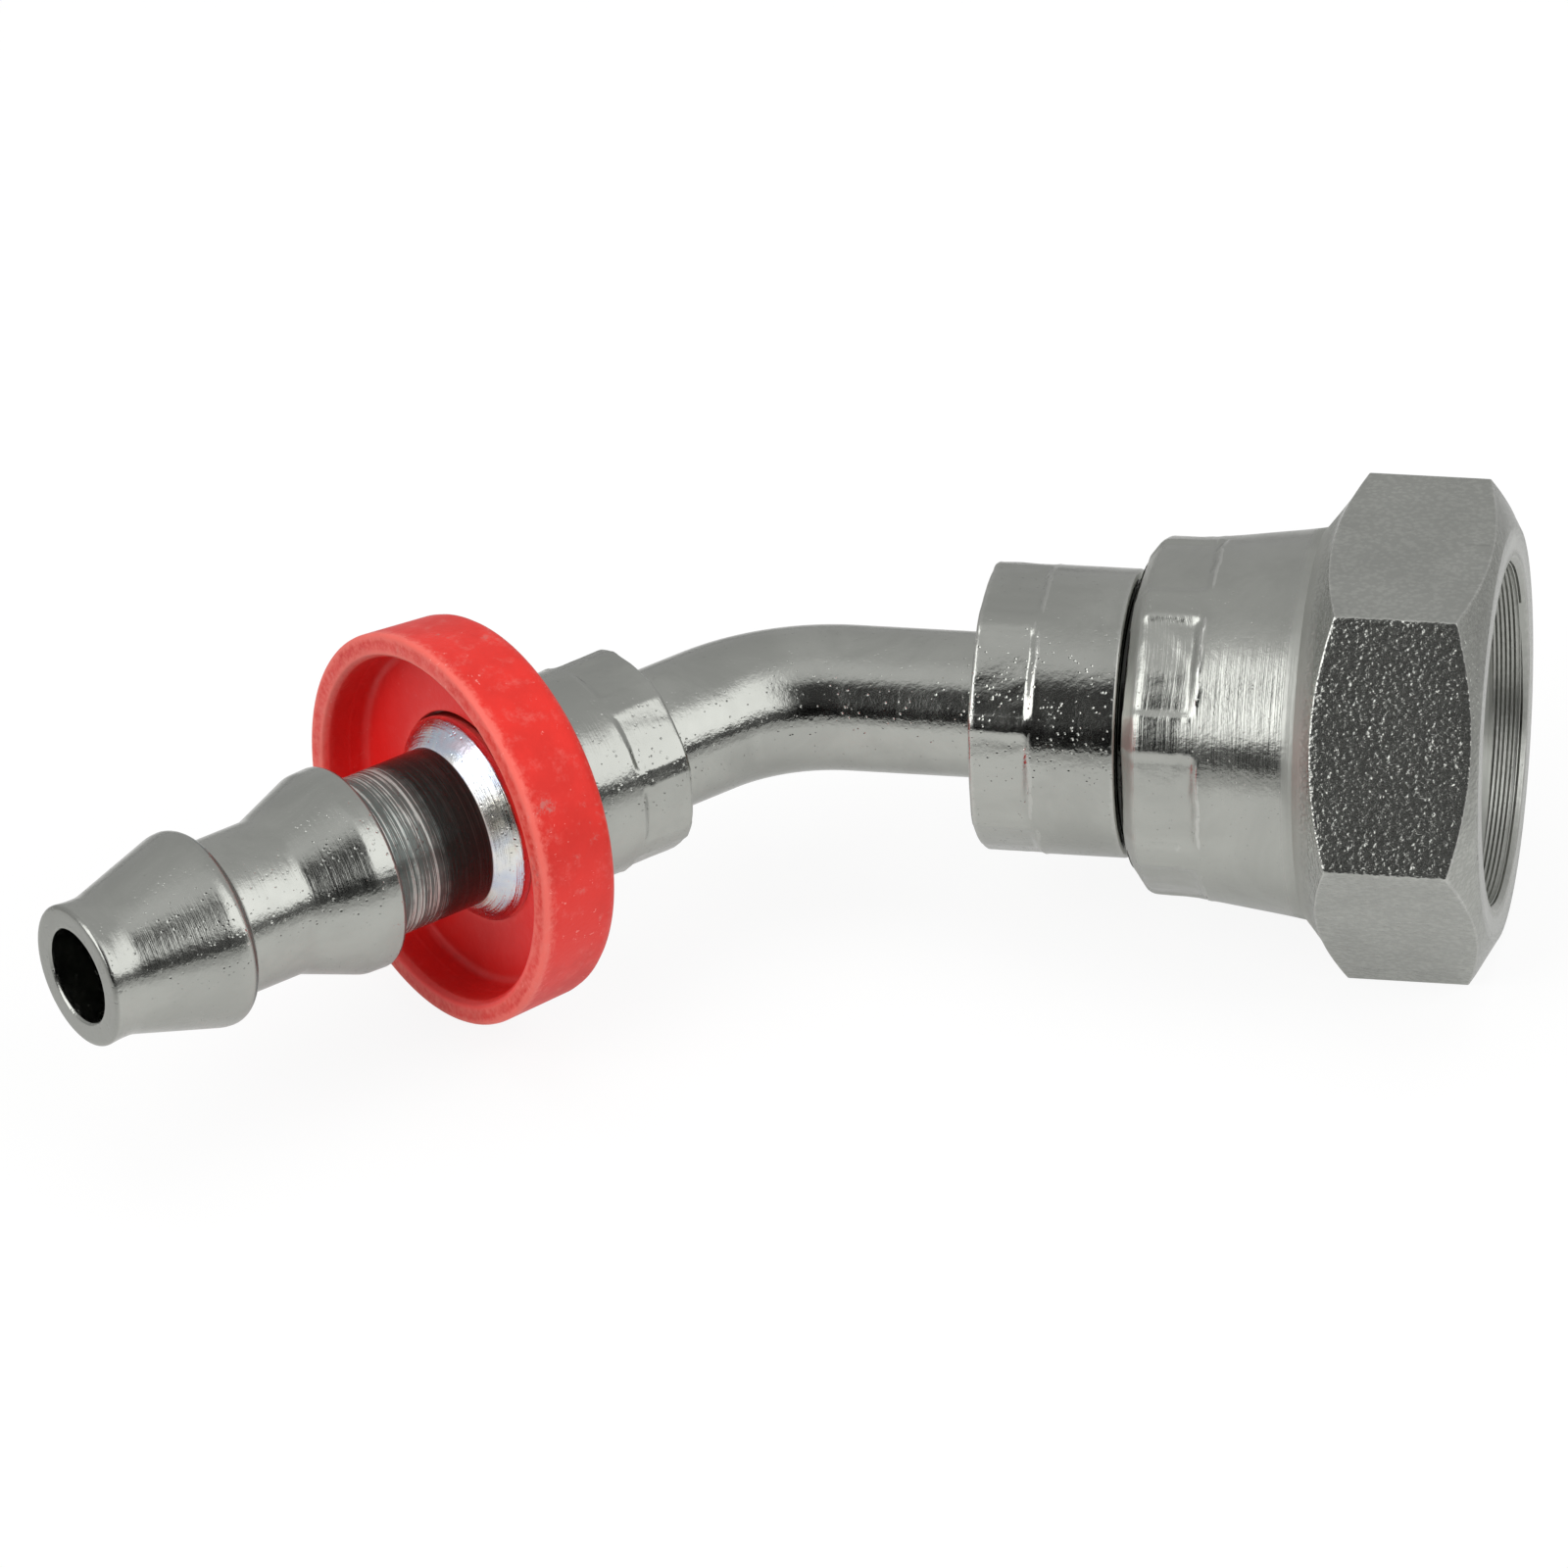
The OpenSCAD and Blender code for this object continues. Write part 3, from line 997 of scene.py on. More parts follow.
@dataclass(frozen=True)
class RedPlastic:
    """Soft red moulded plastic, half gloss, with dust, scuffs and a rubbed rim."""

    name: str = "Red stop plastic"
    color: Color = (0.7, 0.029, 0.021)
    worn_color: Color = (0.84, 0.2, 0.16)
    dust_color: Color = (0.9, 0.5, 0.45)
    haze_color: Color = (0.74, 0.24, 0.21)
    scuff_color: Color = (0.3, 0.2, 0.18)
    cup_reflection_color: Color = (0.86, 0.014, 0.014)
    cup_radius: float = 11.2

    def build(self) -> bpy.types.Material:
        """Make the finished material.

        Returns:
            The material.
        """
        material, s = new_material(self.name)
        principled = s.tree.nodes["Principled BSDF"]
        where = s.add("ShaderNodeTexCoord").outputs["Object"]
        where = s.stretch(where, (1 / MM, 1 / MM, 1 / MM))
        clouds = s.step(s.noise(where, 0.22, 4.0, 0.6), 0.35, 0.7)
        cup = s.step(s.radius(where), self.cup_radius + 0.2, self.cup_radius - 0.2)
        s.feed(principled, "Base Color", self.stains_and_cup_reflection(s, where, clouds, cup))
        rough = s.math("MULTIPLY_ADD", clouds, 0.1, 0.36)
        s.feed(principled, "Roughness", s.minus(rough, s.times(cup, 0.03)))
        principled.inputs["Specular IOR Level"].default_value = 0.32
        waves = s.times(s.noise(where, 0.35, 2.0, 0.5), 2.0)
        s.feed(principled, "Normal", s.bump(s.plus(s.noise(where, 3.0, 3.0, 0.6), waves), 0.02))
        return material

    def stains_and_cup_reflection(self, s: Shader, where: Socket, clouds: Socket, cup: Socket) -> Socket:
        """Return the colour with its rubbed edges, dust, haze and scuffs, and a painted reflection
        inside the cup.

        Args:
            s: The shader writer.
            where: Place in millimetres.
            clouds: Mask of the slow changes over the surface.
            cup: Mask of the inside of the cup, which is clean and painted a deeper red as painted
                reflection of its own red walls.

        Returns:
            The colour.
        """
        edge = s.add("ShaderNodeAttribute", attribute_name="edge").outputs["Fac"]
        worn = s.use("Edge wear", Edge=edge, Vector=where, Amount=0.6).outputs["Wear"]
        base = s.blend(clouds, rgba(self.color), rgba(self.color, 0.84))
        base = s.blend(worn, base, rgba(self.worn_color))
        jitter = s.add("ShaderNodeTexNoise", Vector=where, Scale=5.0).outputs["Color"]
        dots = s.cells(s.vector("ADD", where, jitter).outputs[0], 1.3)
        size = s.step(s.noise(where, 0.3, 3.0), 0.4, 0.65, to_low=0.03, to_high=0.13)
        dust = s.times(s.math("LESS_THAN", dots, size), 0.4)
        base = s.blend(dust, base, rgba(self.dust_color))
        haze = s.times(s.step(s.noise(where, 0.8, 6.0, 0.75), 0.5, 0.72), 0.24)
        base = s.blend(haze, base, rgba(self.haze_color))
        scuff = s.times(s.step(s.noise(where, 0.4, 8.0, 0.8), 0.585, 0.65),
                        s.step(s.noise(where, 0.12, 2.0), 0.42, 0.56))
        scuff = s.times(scuff, s.minus(0.42, s.times(cup, 0.42)))
        base = s.blend(scuff, base, rgba(self.scuff_color))
        # Painted reflection and shade: the inside of the cup is a deeper, purer red, as its red
        # walls light each other.
        return s.blend(s.times(cup, 0.75), base, rgba(self.cup_reflection_color))


# -------------------------------------------------------------- sub-assemblies


def dress(piece: bpy.types.Object, material: bpy.types.Material, body: Body,
          node: str) -> bpy.types.Object:
    """Give a piece its material and put it in the place of its CAD node.

    Args:
        piece: The finished object.
        material: Its finish.
        body: The body that it moves with.
        node: The CAD node that it stands for, which is hidden.

    Returns:
        The piece.
    """
    piece.data.materials.append(material)
    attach(piece, body.value)
    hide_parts(node)
    return piece


@dataclass
class HoseTail:
    """The turned tail: tip, two barbs, neck, shoulder and the crimped tube socket."""

    tip_r: float = 4.55
    bore_r: float = 3.0
    waist_r: float = 4.43
    land_r: float = 4.95
    barb_1_r: float = 6.25
    barb_2_r: float = 6.5
    neck_r: float = 5.1
    body_r: float = 6.6
    tube_r: float = 4.52
    neck_end: float = 26.7
    socket_floor: float = 31.6
    end: float = 40.6
    steps: int = 256
    crimp: CrimpRing = CrimpRing(radius=6.6, start=37.0, end=41.5, turn=3.5, width=31, inner=6.0,
                                 flatness=0.36, step=0.07, blend=0.4)

    def profile(self) -> list[Corner]:
        """Return the closed outline of the tail, outside first."""
        return [
            (0.0, self.tip_r, 0.32), (1.1, self.waist_r, 0.3), (2.05, self.waist_r, 0.3),
            (8.05, self.barb_1_r - 0.04, 0.25), (8.75, self.barb_1_r, 0.3),
            (9.3, 5.85, 0.25), (9.45, self.land_r, 0.2),
            (14.05, self.land_r, 0.25), (18.05, self.barb_2_r - 0.05, 0.2),
            (19.58, self.barb_2_r, 0.3), (19.62, self.neck_r, 0.16),
            (self.neck_end, self.neck_r, 0.04), (self.neck_end + 0.75, 6.12, 0.12),
            (self.neck_end + 1.3, self.body_r, 0.12),
            *close_rings((36.2, self.body_r), (37.8, self.body_r)),
            (self.end, self.body_r, 0.26), (self.end, self.tube_r, 0.12),
            (self.socket_floor, self.tube_r, 0), (self.socket_floor, self.bore_r, 0),
            (0.14, self.bore_r, 0.03), (0.0, self.bore_r + 0.14, 0.05)]

    def build(self) -> bpy.types.Object:
        """Make the tail, in place of its CAD node.

        Returns:
            The tail.
        """
        bm = turned_mesh(self.profile(), self.steps, 1.4)
        self.crimp.press(bm)
        bmesh.ops.recalc_face_normals(bm, faces=bm.faces[:])
        edge_attribute(bm, 3.0, 1)
        piece = finish_piece("turned_tail", bm, Axis.TAIL, 50)
        finish = TailSteel("Tail steel", Axis.TAIL, roughness=0.13, grain=3.0, grain_depth=0.006,
                           lines=3.6, line_depth=0.008, pits=0.5, wear=0.1)
        return dress(piece, finish.build(), Body.FIXED, "hose_tail")


@dataclass
class StopRing:
    """The moulded cup that hides the cut end of the hose, and sits a little askew.

    It leans by two angles in degrees, about Y and then about Z.
    """

    rim_x: float = 25.3
    back_x: float = 31.0
    floor_x: float = 28.4
    rim_r: float = 12.55
    back_r: float = 12.2
    cup_r: float = 10.95
    floor_r: float = 10.9
    hole_r: float = 6.62
    lean: tuple[float, float] = (2.7, 1.4)
    offset: tuple[float, float] = (0.12, 0.1)
    steps: int = 256

    def profile(self) -> list[Corner]:
        """Return the closed outline of the ring, outside first."""
        return [
            (self.rim_x, self.rim_r, 0.3), (self.back_x, self.back_r, 0.85),
            (self.back_x, self.hole_r, 0.12), (self.floor_x, self.hole_r, 0.12),
            (self.floor_x, self.floor_r, 0.55), (self.rim_x + 1.9, self.floor_r + 0.02, 0.08),
            (self.rim_x + 1.75, self.cup_r, 0.08), (self.rim_x + 0.35, self.cup_r + 0.02, 0.1),
            (self.rim_x, self.cup_r + 0.3, 0.1)]

    def build(self) -> bpy.types.Object:
        """Make the ring, in place of its CAD node.

        Returns:
            The ring.
        """
        bm = turned_mesh(self.profile(), self.steps, 1.0)
        centre = Matrix.Translation((self.floor_x, *self.offset))
        turns = Matrix.Rotation(math.radians(self.lean[1]), 4, "Z")
        turns @= Matrix.Rotation(math.radians(self.lean[0]), 4, "Y")
        lean = centre @ turns @ Matrix.Translation((-self.floor_x, 0, 0))
        bmesh.ops.transform(bm, matrix=lean, verts=bm.verts[:])
        edge_attribute(bm, 2.0, 3)
        piece = finish_piece("stop_ring", bm, Axis.TAIL, 60)
        return dress(piece, RedPlastic().build(), Body.FIXED, "hose_stop")


@dataclass
class BentTube:
    """The bent steel tube between the two crimped ends."""

    radius: float = 4.5
    wall: float = 1.2
    start: float = 31.6
    bend_radius: float = 12.0
    nut_end: float = 22.1
    columns: int = 128
    bend_steps: int = 40
    run_steps: int = 8

    def build(self) -> bpy.types.Object:
        """Make the tube, in place of its CAD node.

        Returns:
            The tube.
        """
        bm = bmesh.new()
        made = bmesh.ops.create_circle(bm, cap_ends=False, segments=self.columns,
                                       radius=self.radius)
        turn = Matrix.Translation((self.start, 0, 0)) @ Matrix.Rotation(math.pi / 2, 4, "Y")
        bmesh.ops.transform(bm, matrix=turn, verts=made["verts"])
        tangent = self.bend_radius * math.tan(BEND_ANGLE / 2)
        ring = self.run(bm, bm.edges[:], Vector((1, 0, 0)), CROSSING.x - tangent - self.start)
        centre = Vector((CROSSING.x - tangent, -self.bend_radius, 0))
        spun = bmesh.ops.spin(
            bm, geom=ring, cent=centre, axis=(0, 0, 1), dvec=(0, 0, 0), angle=-BEND_ANGLE,
            steps=self.bend_steps, use_merge=False, use_duplicate=False)
        ring = [e for e in spun["geom_last"] if isinstance(e, bmesh.types.BMEdge)]
        way = Vector((math.cos(BEND_ANGLE), -math.sin(BEND_ANGLE), 0))
        self.run(bm, ring, way, self.nut_end - tangent)
        bmesh.ops.remove_doubles(bm, verts=bm.verts[:], dist=MERGE)
        bmesh.ops.recalc_face_normals(bm, faces=bm.faces[:])
        self.face_outwards(bm)
        bmesh.ops.solidify(bm, geom=bm.faces[:], thickness=self.wall)
        bmesh.ops.recalc_face_normals(bm, faces=bm.faces[:])
        bm.verts.layers.float.new("edge")
        piece = finish_piece("bent_tube", bm, Axis.TAIL, 50)
        finish = PlatedSteel("Tube steel", Axis.TAIL, roughness=0.11, grain=3.2,
                             grain_depth=0.0075, lines=2.0, line_depth=0.0008, pits=0.4)
        return dress(piece, finish.build(), Body.FIXED, "elbow_tube")

    def run(self, bm: Mesh, ring: list[bmesh.types.BMEdge], way: Vector,
            length: float) -> list[bmesh.types.BMEdge]:
        """Draw an open ring of edges out along a straight way.

        Args:
            bm: The mesh.
            ring: The edges to draw out.
            way: Direction of the run.
            length: Length of the run in millimetres.

        Returns:
            The edges at the far end.
        """
        for _ in range(self.run_steps):
            made = bmesh.ops.extrude_edge_only(bm, edges=ring)["geom"]
            verts = [g for g in made if isinstance(g, bmesh.types.BMVert)]
            bmesh.ops.translate(bm, verts=verts, vec=way * (length / self.run_steps))
            ring = [g for g in made if isinstance(g, bmesh.types.BMEdge)
                    and g.verts[0] in verts and g.verts[1] in verts]
        return ring

    def face_outwards(self, bm: Mesh) -> None:
        """Turn the open skin so that its faces point away from the tube's axis.

        Args:
            bm: The mesh, whose faces all point the same way.
        """
        face = min(bm.faces, key=lambda f: f.calc_center_median().x)
        middle = face.calc_center_median()
        if face.normal.dot(Vector((0, middle.y, middle.z))) < 0:
            bmesh.ops.reverse_faces(bm, faces=bm.faces[:])


@dataclass
class ConeNipple:
    """The turned nipple: crimped collar, neck, head and the cone that seals."""

    back: float = 13.6
    front: float = 22.7
    tube_floor: float = 22.1
    tube_r: float = 4.52
    collar_r: float = 8.9
    neck_r: float = 8.0
    head_r: float = 9.6
    head_back: float = 28.43
    head_front: float = 31.03
    seat_r: float = 8.9
    nose_x: float = 36.4
    nose_r: float = 5.8
    bore_r: float = 3.2
    steps: int = 256
    crimp: CrimpRing = CrimpRing(radius=8.9, start=12.0, end=17.2, turn=43.5, width=37, inner=8.0,
                                 flatness=0.42, step=0.08, blend=0.55, lip=0.07)

    def profile(self) -> list[Corner]:
        """Return the closed outline of the nipple, outside first."""
        return [
            (self.back, self.collar_r, 0.26),
            *close_rings((16.4, self.collar_r), (18.0, self.collar_r)),
            (self.front, self.collar_r, 0.26),
            (self.front, self.neck_r, 0.1), (self.head_back - 1.6, self.neck_r, 0.1),
            (self.head_back, self.head_r, 0.12), (self.head_front, self.head_r, 0.2),
            (self.head_front, self.seat_r, 0.1), (self.nose_x, self.nose_r, 0.15),
            (self.nose_x, self.bore_r + 0.7, 0.08), (self.nose_x - 0.7, self.bore_r, 0.08),
            (self.tube_floor, self.bore_r, 0), (self.tube_floor, self.tube_r, 0),
            (self.back, self.tube_r, 0.12)]

    def build(self) -> bpy.types.Object:
        """Make the nipple, in place of its CAD node.

        Returns:
            The nipple.
        """
        bm = turned_mesh(self.profile(), self.steps, 1.4)
        self.crimp.press(bm)
        bmesh.ops.recalc_face_normals(bm, faces=bm.faces[:])
        edge_attribute(bm, 2.6, 1)
        piece = finish_piece("crimped_nipple", bm, Axis.NUT, 50)
        finish = NippleSteel("Nipple steel", Axis.NUT, roughness=0.1, grain=3.0,
                             grain_depth=0.0075, lines=3.0, line_depth=0.001, pits=0.45, wear=0.3)
        return dress(piece, finish.build(), Body.FIXED, "cone_nipple")


@dataclass
class SwivelNut:
    """The hexagon nut with its crimped skirt and its pipe thread."""

    back: float = 23.2
    face: float = 45.5
    hex_back: float = 34.5
    across_flats: float = 27.0
    skirt_r: float = 11.0
    hex_base_r: float = 12.15
    hex_face_r: float = 12.75
    chamfer: float = 30.0
    lip_r: float = 8.3
    chamber_r: float = 9.75
    thread_r: float = 10.48
    minor_r: float = 9.35
    groove_r: float = 10.93
    pitch: float = 1.814
    thread_back: float = 36.7
    thread_turns: float = 5.2
    turn_steps: int = 120
    lead: float = 2.0
    score_start: float = 0.62
    score_pitch: float = 0.14
    score_depth: float = 0.045
    score_count: int = 13
    sweep: float = 0.45
    turn: float = 3.0
    steps: int = 360
    corner: float = 0.16
    soft: float = 0.09
    hex_rings: tuple[float, ...] = (0.0, 0.3, 0.6, 0.85, 0.96, 1.0)
    side_rings: int = 24
    # Places on a rounded edge of the hexagon, outwards and inwards as shares of soft.
    rounding: tuple[Point, ...] = ((0.3, 0.28), (-0.25, 0.08), (-1.0, 0.0))
    crimp: CrimpRing = CrimpRing(radius=11.06, start=22.0, end=27.7, turn=39, width=32, inner=9.6,
                                 blend=0.62, lip=0.12, flatness=0.38, step=0.16)

    def ring_count(self) -> int:
        """Return how many even lengths the outline cuts the hexagon into."""
        return 2 * len(self.hex_rings) + self.side_rings

    def outline(self) -> list[Corner]:
        """Make the closed outline, with the hexagon as even rings to be shaped later.

        Returns:
            Corners as (x, radius, rounding), outside first.
        """
        count = self.ring_count()
        length = self.face - self.hex_back
        hexagon = [(self.hex_back + length * k / count, HEX_BLANK_R, 0.0)
                   for k in range(1, count)]
        scores = [(self.face - self.score_start - self.score_pitch * k,
                   self.thread_r - self.score_depth * (k % 2), 0.0)
                  for k in range(self.score_count)]
        return [
            (self.back, self.lip_r, 0.1), (self.back, 9.8, 0.25),
            (self.back + 0.9, self.skirt_r, 0.4), (26.6, self.skirt_r + 0.06, 0.3),
            *close_rings((27.1, self.skirt_r + 0.1), (28.7, self.skirt_r + 0.3)),
            (33.0, self.hex_base_r - 0.26, 0.5),
            (self.hex_back - self.sweep, self.hex_base_r - 0.08, 0.0), *hexagon,
            (self.face, self.hex_face_r, 0.0), (self.face, self.thread_r + 0.4, 0.08),
            (self.face - 0.5, self.thread_r, 0.0), *scores,
            (self.thread_back, self.thread_r, 0.0), (self.thread_back, self.groove_r, 0.0),
            (self.thread_back - 0.8, self.groove_r, 0.1),
            (self.thread_back - 0.8, self.chamber_r, 0.08), (28.15, self.chamber_r, 0.1),
            (26.7, self.lip_r, 0.1)]

    def off_flat(self, angle: float) -> float:
        """Return an angle from the middle of the nearest flat."""
        sector = TURN / 6
        return (angle + sector / 2) % sector - sector / 2

    def flat_r(self, angle: float) -> float:
        """Return the hexagon's radius at an angle, with its corners a little rounded.

        Args:
            angle: Angle round the axis.

        Returns:
            The radius.
        """
        off, flat = self.off_flat(angle), self.across_flats / 2
        a, b = flat / math.cos(off), flat / math.cos(TURN / 6 - abs(off))
        h = max(0.0, self.corner - abs(a - b)) / self.corner
        return min(a, b) - h * h * self.corner / 4

    def warp(self, angle: float) -> float:
        """Return an angle moved towards the nearest corner of the hexagon.

        Args:
            angle: Angle round the axis.

        Returns:
            The moved angle.
        """
        off, half = self.off_flat(angle), TURN / 12
        return angle - off + math.copysign(half * (1 - (1 - abs(off) / half) ** 1.7), off)

    def stations(self, radius: float) -> list[Point]:
        """Return the hexagon's outline at one angle, from its base to its face.

        Args:
            radius: The hexagon's radius at that angle.

        Returns:
            As many (x, radius) points as the outline has rings on the hexagon.
        """
        slope = math.tan(math.radians(self.chamfer))
        rear = self.hex_back + (radius - self.hex_base_r) * slope
        front = self.face - (radius - self.hex_face_r) * slope
        soft = self.soft
        points = []
        for t in self.hex_rings[1:-1]:
            points.append((self.hex_back + (rear - self.hex_back) * t - self.sweep * (1 - t) ** 2,
                           self.hex_base_r + (radius - self.hex_base_r) * t))
        points += [(rear - soft * out, radius - soft * down) for out, down in self.rounding]
        inner = self.ring_count() - 1 - 2 * len(points)
        for k in range(inner):
            t = (k + 1) / (inner + 1)
            points.append((rear + soft + (front - rear - 2 * soft) * t, radius))
        points += [(front + soft * out, radius - soft * down)
                   for out, down in reversed(self.rounding)]
        for t in reversed(self.hex_rings[1:-1]):
            points.append((self.face + (front - self.face) * t,
                           self.hex_face_r + (radius - self.hex_face_r) * t))
        return points

    def shape_hexagon(self, bm: Mesh) -> None:
        """Move the evenly spaced rings onto the flats and the two chamfer cones.

        Args:
            bm: The turned mesh.
        """
        count = self.ring_count()
        spacing = (self.face - self.hex_back) / count
        warp_start = self.hex_back - 4
        for vert in bm.verts:
            radius, angle = polar(vert.co)
            if vert.co.x < warp_start or radius < self.hex_base_r - 1.2:
                continue
            share = smooth_step(vert.co.x, warp_start, self.hex_back)
            angle += share * (self.warp(angle) - angle)
            number = round((vert.co.x - self.hex_back) / spacing)
            if radius > HEX_BLANK_R - 0.1 and 0 < number < count:
                vert.co.x, radius = self.stations(self.flat_r(angle))[number - 1]
            set_polar(vert.co, radius, angle)

    def thread_mesh(self) -> Mesh:
        """Make the ridge of the thread as one helical spin, cut away towards the mouth.

        Returns:
            A mesh in the nut's own frame, in millimetres.
        """
        bm = bmesh.new()
        root, crest = self.thread_r + 0.04, self.minor_r
        half = self.pitch / 2 - 0.03
        section = [(-half, root), (-0.26, crest + 0.16), (-0.13, crest + 0.02),
                   (0.13, crest + 0.02), (0.26, crest + 0.16), (half, root)]
        start = self.thread_back - 0.2
        verts = [bm.verts.new((start + x, 0, r)) for x, r in section]
        edges = [bm.edges.new(pair) for pair in zip(verts, verts[1:] + verts[:1])]
        steps = int(self.thread_turns * self.turn_steps)
        bmesh.ops.spin(
            bm, geom=verts + edges, cent=(0, 0, 0), axis=(1, 0, 0),
            dvec=(self.thread_turns * self.pitch / steps, 0, 0), angle=-self.thread_turns * TURN,
            steps=steps, use_merge=False, use_duplicate=False)
        bmesh.ops.holes_fill(bm, edges=[e for e in bm.edges if e.is_boundary], sides=8)
        for vert in bm.verts:
            radius, angle = polar(vert.co)
            mouth = root + (self.lead - self.face + vert.co.x) * 1.2
            vert.co.x = min(vert.co.x, self.face - 0.3)
            set_polar(vert.co, min(max(radius, mouth), root), angle)
        bmesh.ops.recalc_face_normals(bm, faces=bm.faces[:])
        return bm

    def build(self) -> list[bpy.types.Object]:
        """Make the nut, in place of its CAD node, and its thread.

        Returns:
            The nut and the thread's ridge.
        """
        bm = turned_mesh(self.outline(), self.steps, 1.2)
        self.shape_hexagon(bm)
        self.crimp.press(bm)
        bmesh.ops.recalc_face_normals(bm, faces=bm.faces[:])
        roll = Matrix.Rotation(math.radians(self.turn), 4, "X")
        bmesh.ops.transform(bm, matrix=roll, verts=bm.verts[:])
        edge_attribute(bm, 4.5, 1)
        nut = finish_piece("hex_nut", bm, Axis.NUT, 35)
        finish = NutSteel("Nut steel", Axis.NUT, color=(0.51, 0.52, 0.485), roughness=0.15,
                          grain=3.0, grain_depth=0.006, lines=4.0, line_depth=0.012, pits=0.25,
                          wear=0.4)
        dress(nut, finish.build(), Body.NUT, "swivel_nut")
        thread = self.thread_mesh()
        thread.verts.layers.float.new("edge")
        ridge = finish_piece("nut_thread", thread, Axis.NUT, 40)
        cut = PlatedSteel("Thread steel", Axis.NUT, roughness=0.28, grain=2.5, grain_depth=0.004,
                          lines=5.0, line_depth=0.014, pits=0.2)
        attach(ridge, Body.NUT.value)
        ridge.data.materials.append(cut.build())
        return [nut, ridge]


# --------------------------------------------------------------------- studio


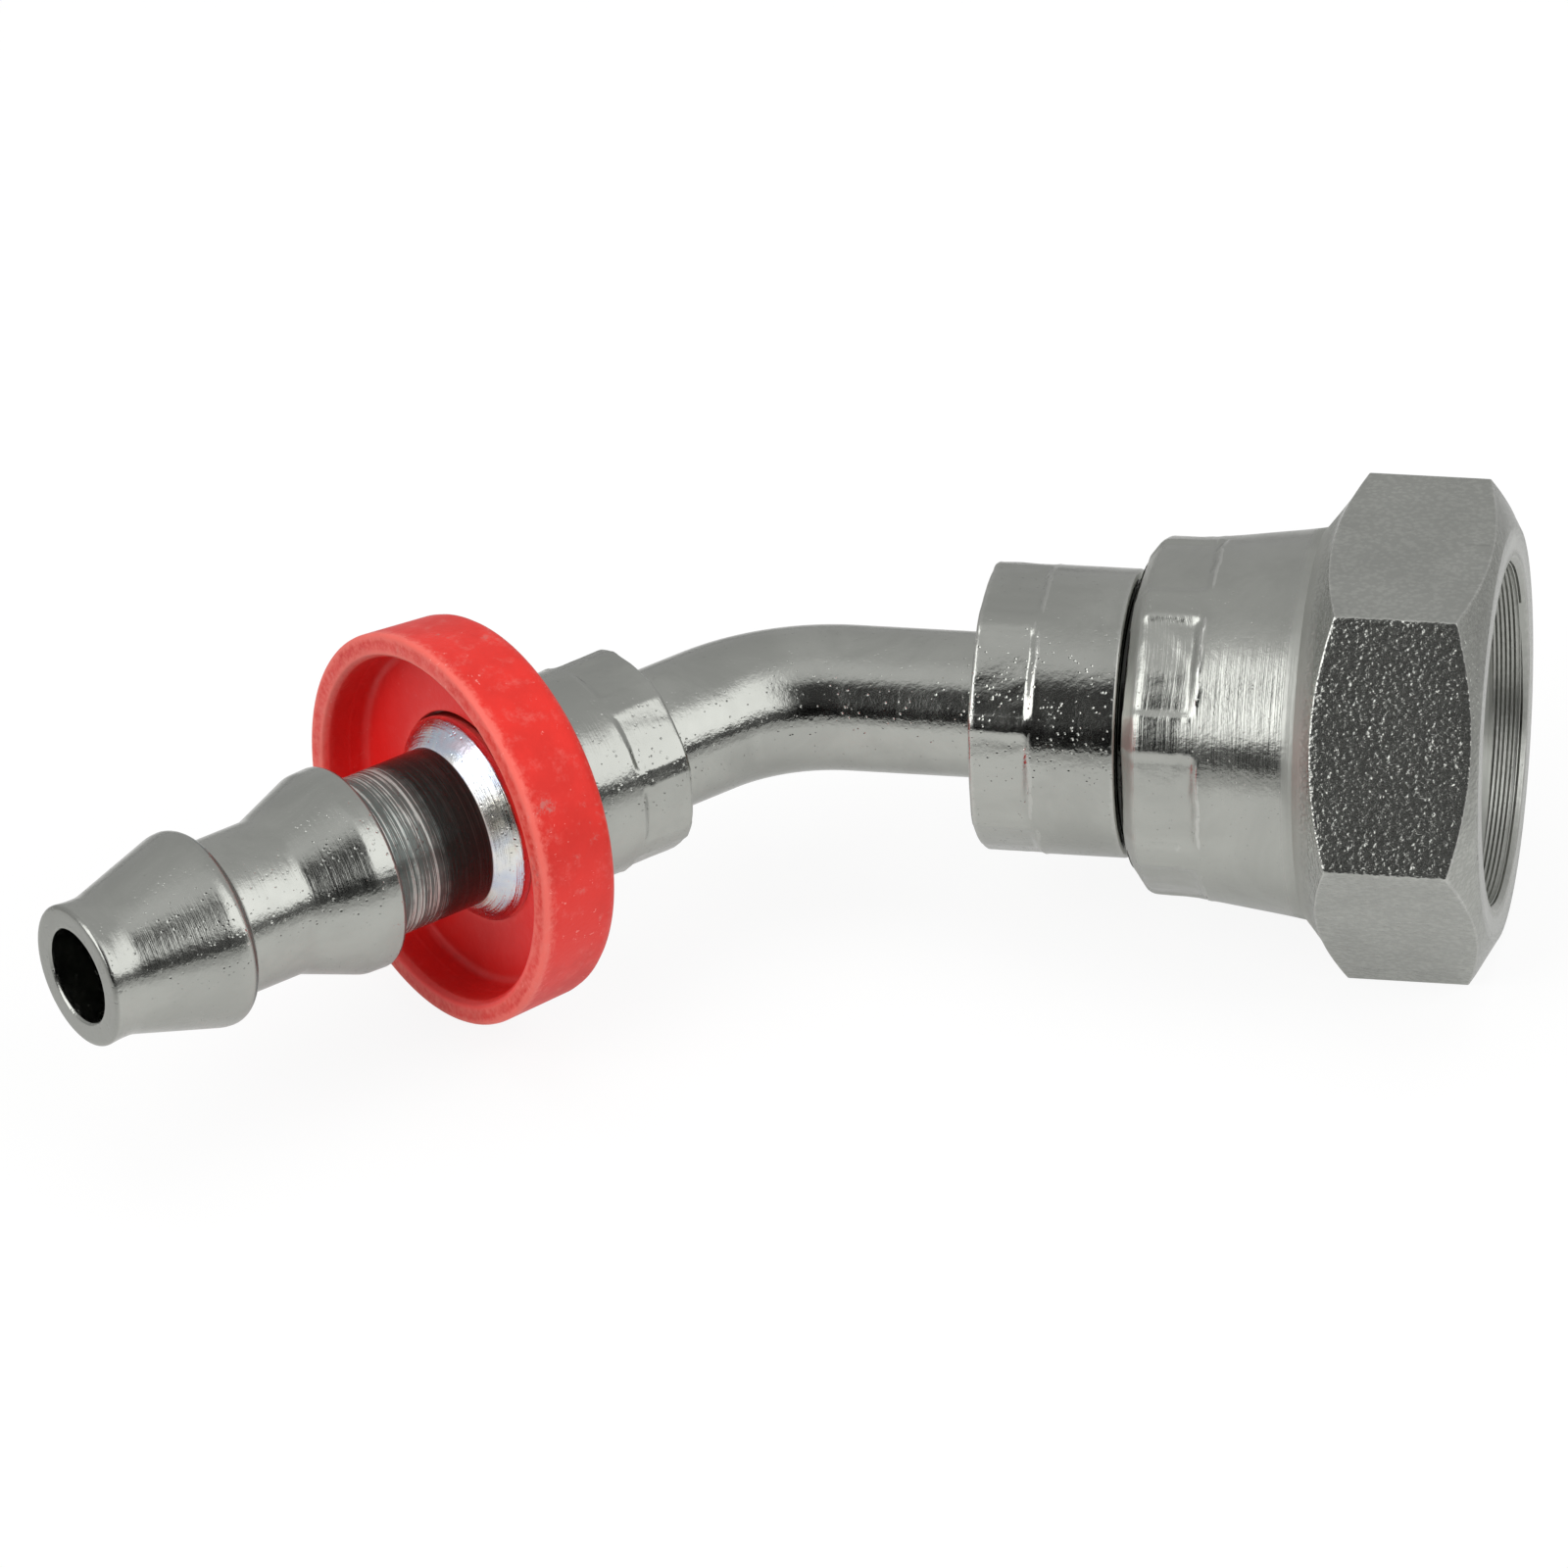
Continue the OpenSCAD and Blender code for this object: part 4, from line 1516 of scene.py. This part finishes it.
@dataclass
class Studio:
    """The pale floor, the white surroundings, the light tent, the lamps and the camera."""

    floor_gap: float = 0.00002
    floor_size: float = 4.0
    floor_color: Color = (0.9, 0.9, 0.89)
    ambient: float = 0.44
    tent_radius: float = 1.4
    camera_place: tuple[float, float, float] = (-0.342636, -0.602051, 0.446296)
    camera_turn: tuple[float, float, float] = (57.7641, 2.6261, -34.8584)
    lens: float = 315.0
    middle: Vector = field(default_factory=lambda: Vector((0.045, -0.01, 0.0)))

    def heading(self) -> tuple[Vector, Vector]:
        """Find the level directions towards the camera and to its right.

        Returns:
            The two directions.
        """
        towards = Vector(self.camera_place) - self.middle
        towards.z = 0
        towards.normalize()
        return towards, Vector((-towards.y, towards.x, 0))

    def build(self) -> None:
        """Make the whole studio."""
        self.make_camera()
        self.make_world()
        self.make_floor()
        self.make_tent()
        self.make_lamps()
        bpy.context.scene.view_settings.view_transform = "Standard"

    def make_camera(self) -> None:
        """Put the camera at the photograph's place and angle."""
        data = bpy.data.cameras.new("Camera")
        data.lens = self.lens
        data.sensor_width = 36
        data.clip_start = 0.01
        data.clip_end = 20
        camera = bpy.data.objects.new("Camera", data)
        camera.location = self.camera_place
        camera.rotation_euler = Euler([math.radians(a) for a in self.camera_turn])
        bpy.context.scene.collection.objects.link(camera)
        bpy.context.scene.camera = camera

    def make_world(self) -> None:
        """Make the surroundings white where they are seen, and a soft grey light elsewhere."""
        world = bpy.data.worlds.new("Studio")
        world.use_nodes = True
        bpy.context.scene.world = world
        s = Shader(world.node_tree)
        background = world.node_tree.nodes["Background"]
        path = s.add("ShaderNodeLightPath")
        seen = s.plus(path.outputs["Is Camera Ray"], path.outputs["Is Glossy Ray"])
        seen = s.math("ADD", seen, path.outputs["Is Transmission Ray"], clamp=True)
        s.feed(background, "Strength", s.step(seen, 0, 1, False, self.ambient, 1.0))
        background.inputs["Color"].default_value = (1, 1, 1, 1)

    def make_floor(self) -> None:
        """Lay the pale floor just under the part's lowest point.

        The camera sees it white with the part's shadow, and gloss sees it fade away from the part.
        """
        bm = bmesh.new()
        bmesh.ops.create_grid(bm, x_segments=1, y_segments=1, size=self.floor_size)
        floor = link_mesh("floor", bm)
        floor.location = (self.middle.x, self.middle.y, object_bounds()[0][2] - self.floor_gap)
        material, s = new_material("Floor")
        diffuse = s.add("ShaderNodeBsdfDiffuse", Color=rgba(self.floor_color))
        path = s.add("ShaderNodeLightPath")
        camera, glossy = path.outputs["Is Camera Ray"], path.outputs["Is Glossy Ray"]
        glossy = s.math("ADD", glossy, path.outputs["Is Transmission Ray"], clamp=True)
        far = s.vector("LENGTH", s.add("ShaderNodeTexCoord").outputs["Object"])
        fade = s.step(far.outputs["Value"], 0.045, 0.11, to_low=0.6, to_high=0.07)
        glow = s.add("ShaderNodeEmission", Color=(1, 1, 1, 1),
                     Strength=s.plus(camera, s.times(glossy, fade)))
        mix = s.add("ShaderNodeMixShader")
        s.feed(mix, 0, s.plus(s.times(camera, 0.9), s.times(glossy, 0.6)))
        s.tree.links.new(diffuse.outputs[0], mix.inputs[1])
        s.tree.links.new(glow.outputs[0], mix.inputs[2])
        s.tree.links.new(mix.outputs[0], s.tree.nodes["Material Output"].inputs["Surface"])
        material.cycles.emission_sampling = "NONE"
        floor.data.materials.append(material)
        floor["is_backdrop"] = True

    def make_tent(self) -> None:
        """Hang a light tent round the part, seen only in its gloss.

        It is grey above and behind, bright on both sides of the camera, and dark in the
        opening that the camera looks through and along the table's far edge.
        """
        bm = bmesh.new()
        bmesh.ops.create_uvsphere(bm, u_segments=64, v_segments=32, radius=self.tent_radius)
        tent = link_mesh("light_tent", bm)
        tent.location = self.middle
        for ray in ("camera", "diffuse", "shadow", "transmission", "volume_scatter"):
            setattr(tent, f"visible_{ray}", False)
        material, s = new_material("Light tent")
        glow = s.add("ShaderNodeEmission", Color=(1, 1, 1, 1), Strength=self.tent_level(s))
        s.tree.links.new(glow.outputs[0], s.tree.nodes["Material Output"].inputs["Surface"])
        material.cycles.emission_sampling = "NONE"
        tent.data.materials.append(material)
        tent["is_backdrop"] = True

    def tent_level(self, s: Shader) -> Socket:
        """Return the tent's brightness from the height and the side that are looked at.

        Both are angles in degrees: the height from the level towards the camera, up and over
        to the back, and the side from that plane to the right.

        Args:
            s: The shader writer.

        Returns:
            The brightness.
        """
        towards, right = self.heading()
        place = s.vector("NORMALIZE", s.add("ShaderNodeTexCoord").outputs["Object"]).outputs[0]
        ahead, aside, up = (
            s.vector("DOT_PRODUCT", place, tuple(way)).outputs["Value"]
            for way in (towards, right, Vector((0, 0, 1))))
        height = s.math("DEGREES", s.math("ARCTAN2", up, ahead))
        side = s.math("DEGREES", s.math("ARCSINE", aside))
        level = s.times(s.step(height, 78, 108, to_low=0.68, to_high=0.54),
                        s.step(height, 110, 180, to_low=1.0, to_high=0.84))
        wings = s.larger(s.step(side, 8, 30), s.step(side, -25, -32))
        walls = s.times(s.times(wings, s.step(height, 96, 74)),
                        s.step(height, 12, 36, to_low=0.35))
        lit = s.step(side, 10, -32, to_low=1.45, to_high=2.3)
        level = s.plus(s.times(level, s.minus(1.0, walls)), s.times(walls, lit))
        opening = s.times(s.minus(1.0, wings), s.step(height, 68, 50))
        level = s.times(level, s.minus(1.0, s.times(opening, 0.92)))
        table = s.step(s.minus(height, s.times(side, 0.05)), 14, 26, to_low=0.08, to_high=1.0)
        return s.times(level, table)

    def make_lamps(self) -> None:
        """Light the part softly from both sides of the camera and from above."""
        towards, right = self.heading()
        up = Vector((0, 0, 1))
        plan = (
            ("left_box", towards * 0.55 - right * 0.62 + up * 0.75, 0.7, 5.4),
            ("right_box", towards * 0.45 + right * 0.75 + up * 0.8, 0.7, 5.4),
            ("top_box", -towards * 0.15 + up * 1.15, 0.9, 4.8))
        for name, place, size, power in plan:
            data = bpy.data.lights.new(name, "AREA")
            data.shape = "SQUARE"
            data.size = size
            data.energy = power
            lamp = bpy.data.objects.new(name, data)
            lamp.location = self.middle + place
            lamp.rotation_euler = (-place).to_track_quat("-Z", "Y").to_euler()
            lamp.visible_glossy = False
            bpy.context.scene.collection.objects.link(lamp)


def main() -> None:
    """Build the groups, the pieces and the studio, and report each piece."""
    logging.basicConfig(level=logging.INFO, format="%(name)s: %(message)s")
    makers: list[Callable[[], bpy.types.NodeTree]] = [turning_group, plating_group, wear_group]
    for make in makers:
        log.info("group %s", make().name)
    pieces = [HoseTail().build(), StopRing().build(), BentTube().build(), ConeNipple().build()]
    pieces += SwivelNut().build()
    for piece in pieces:
        log.info("piece %s: %d faces", piece.name, len(piece.data.polygons))
    Studio().build()


if __name__ == "__main__":
    main()
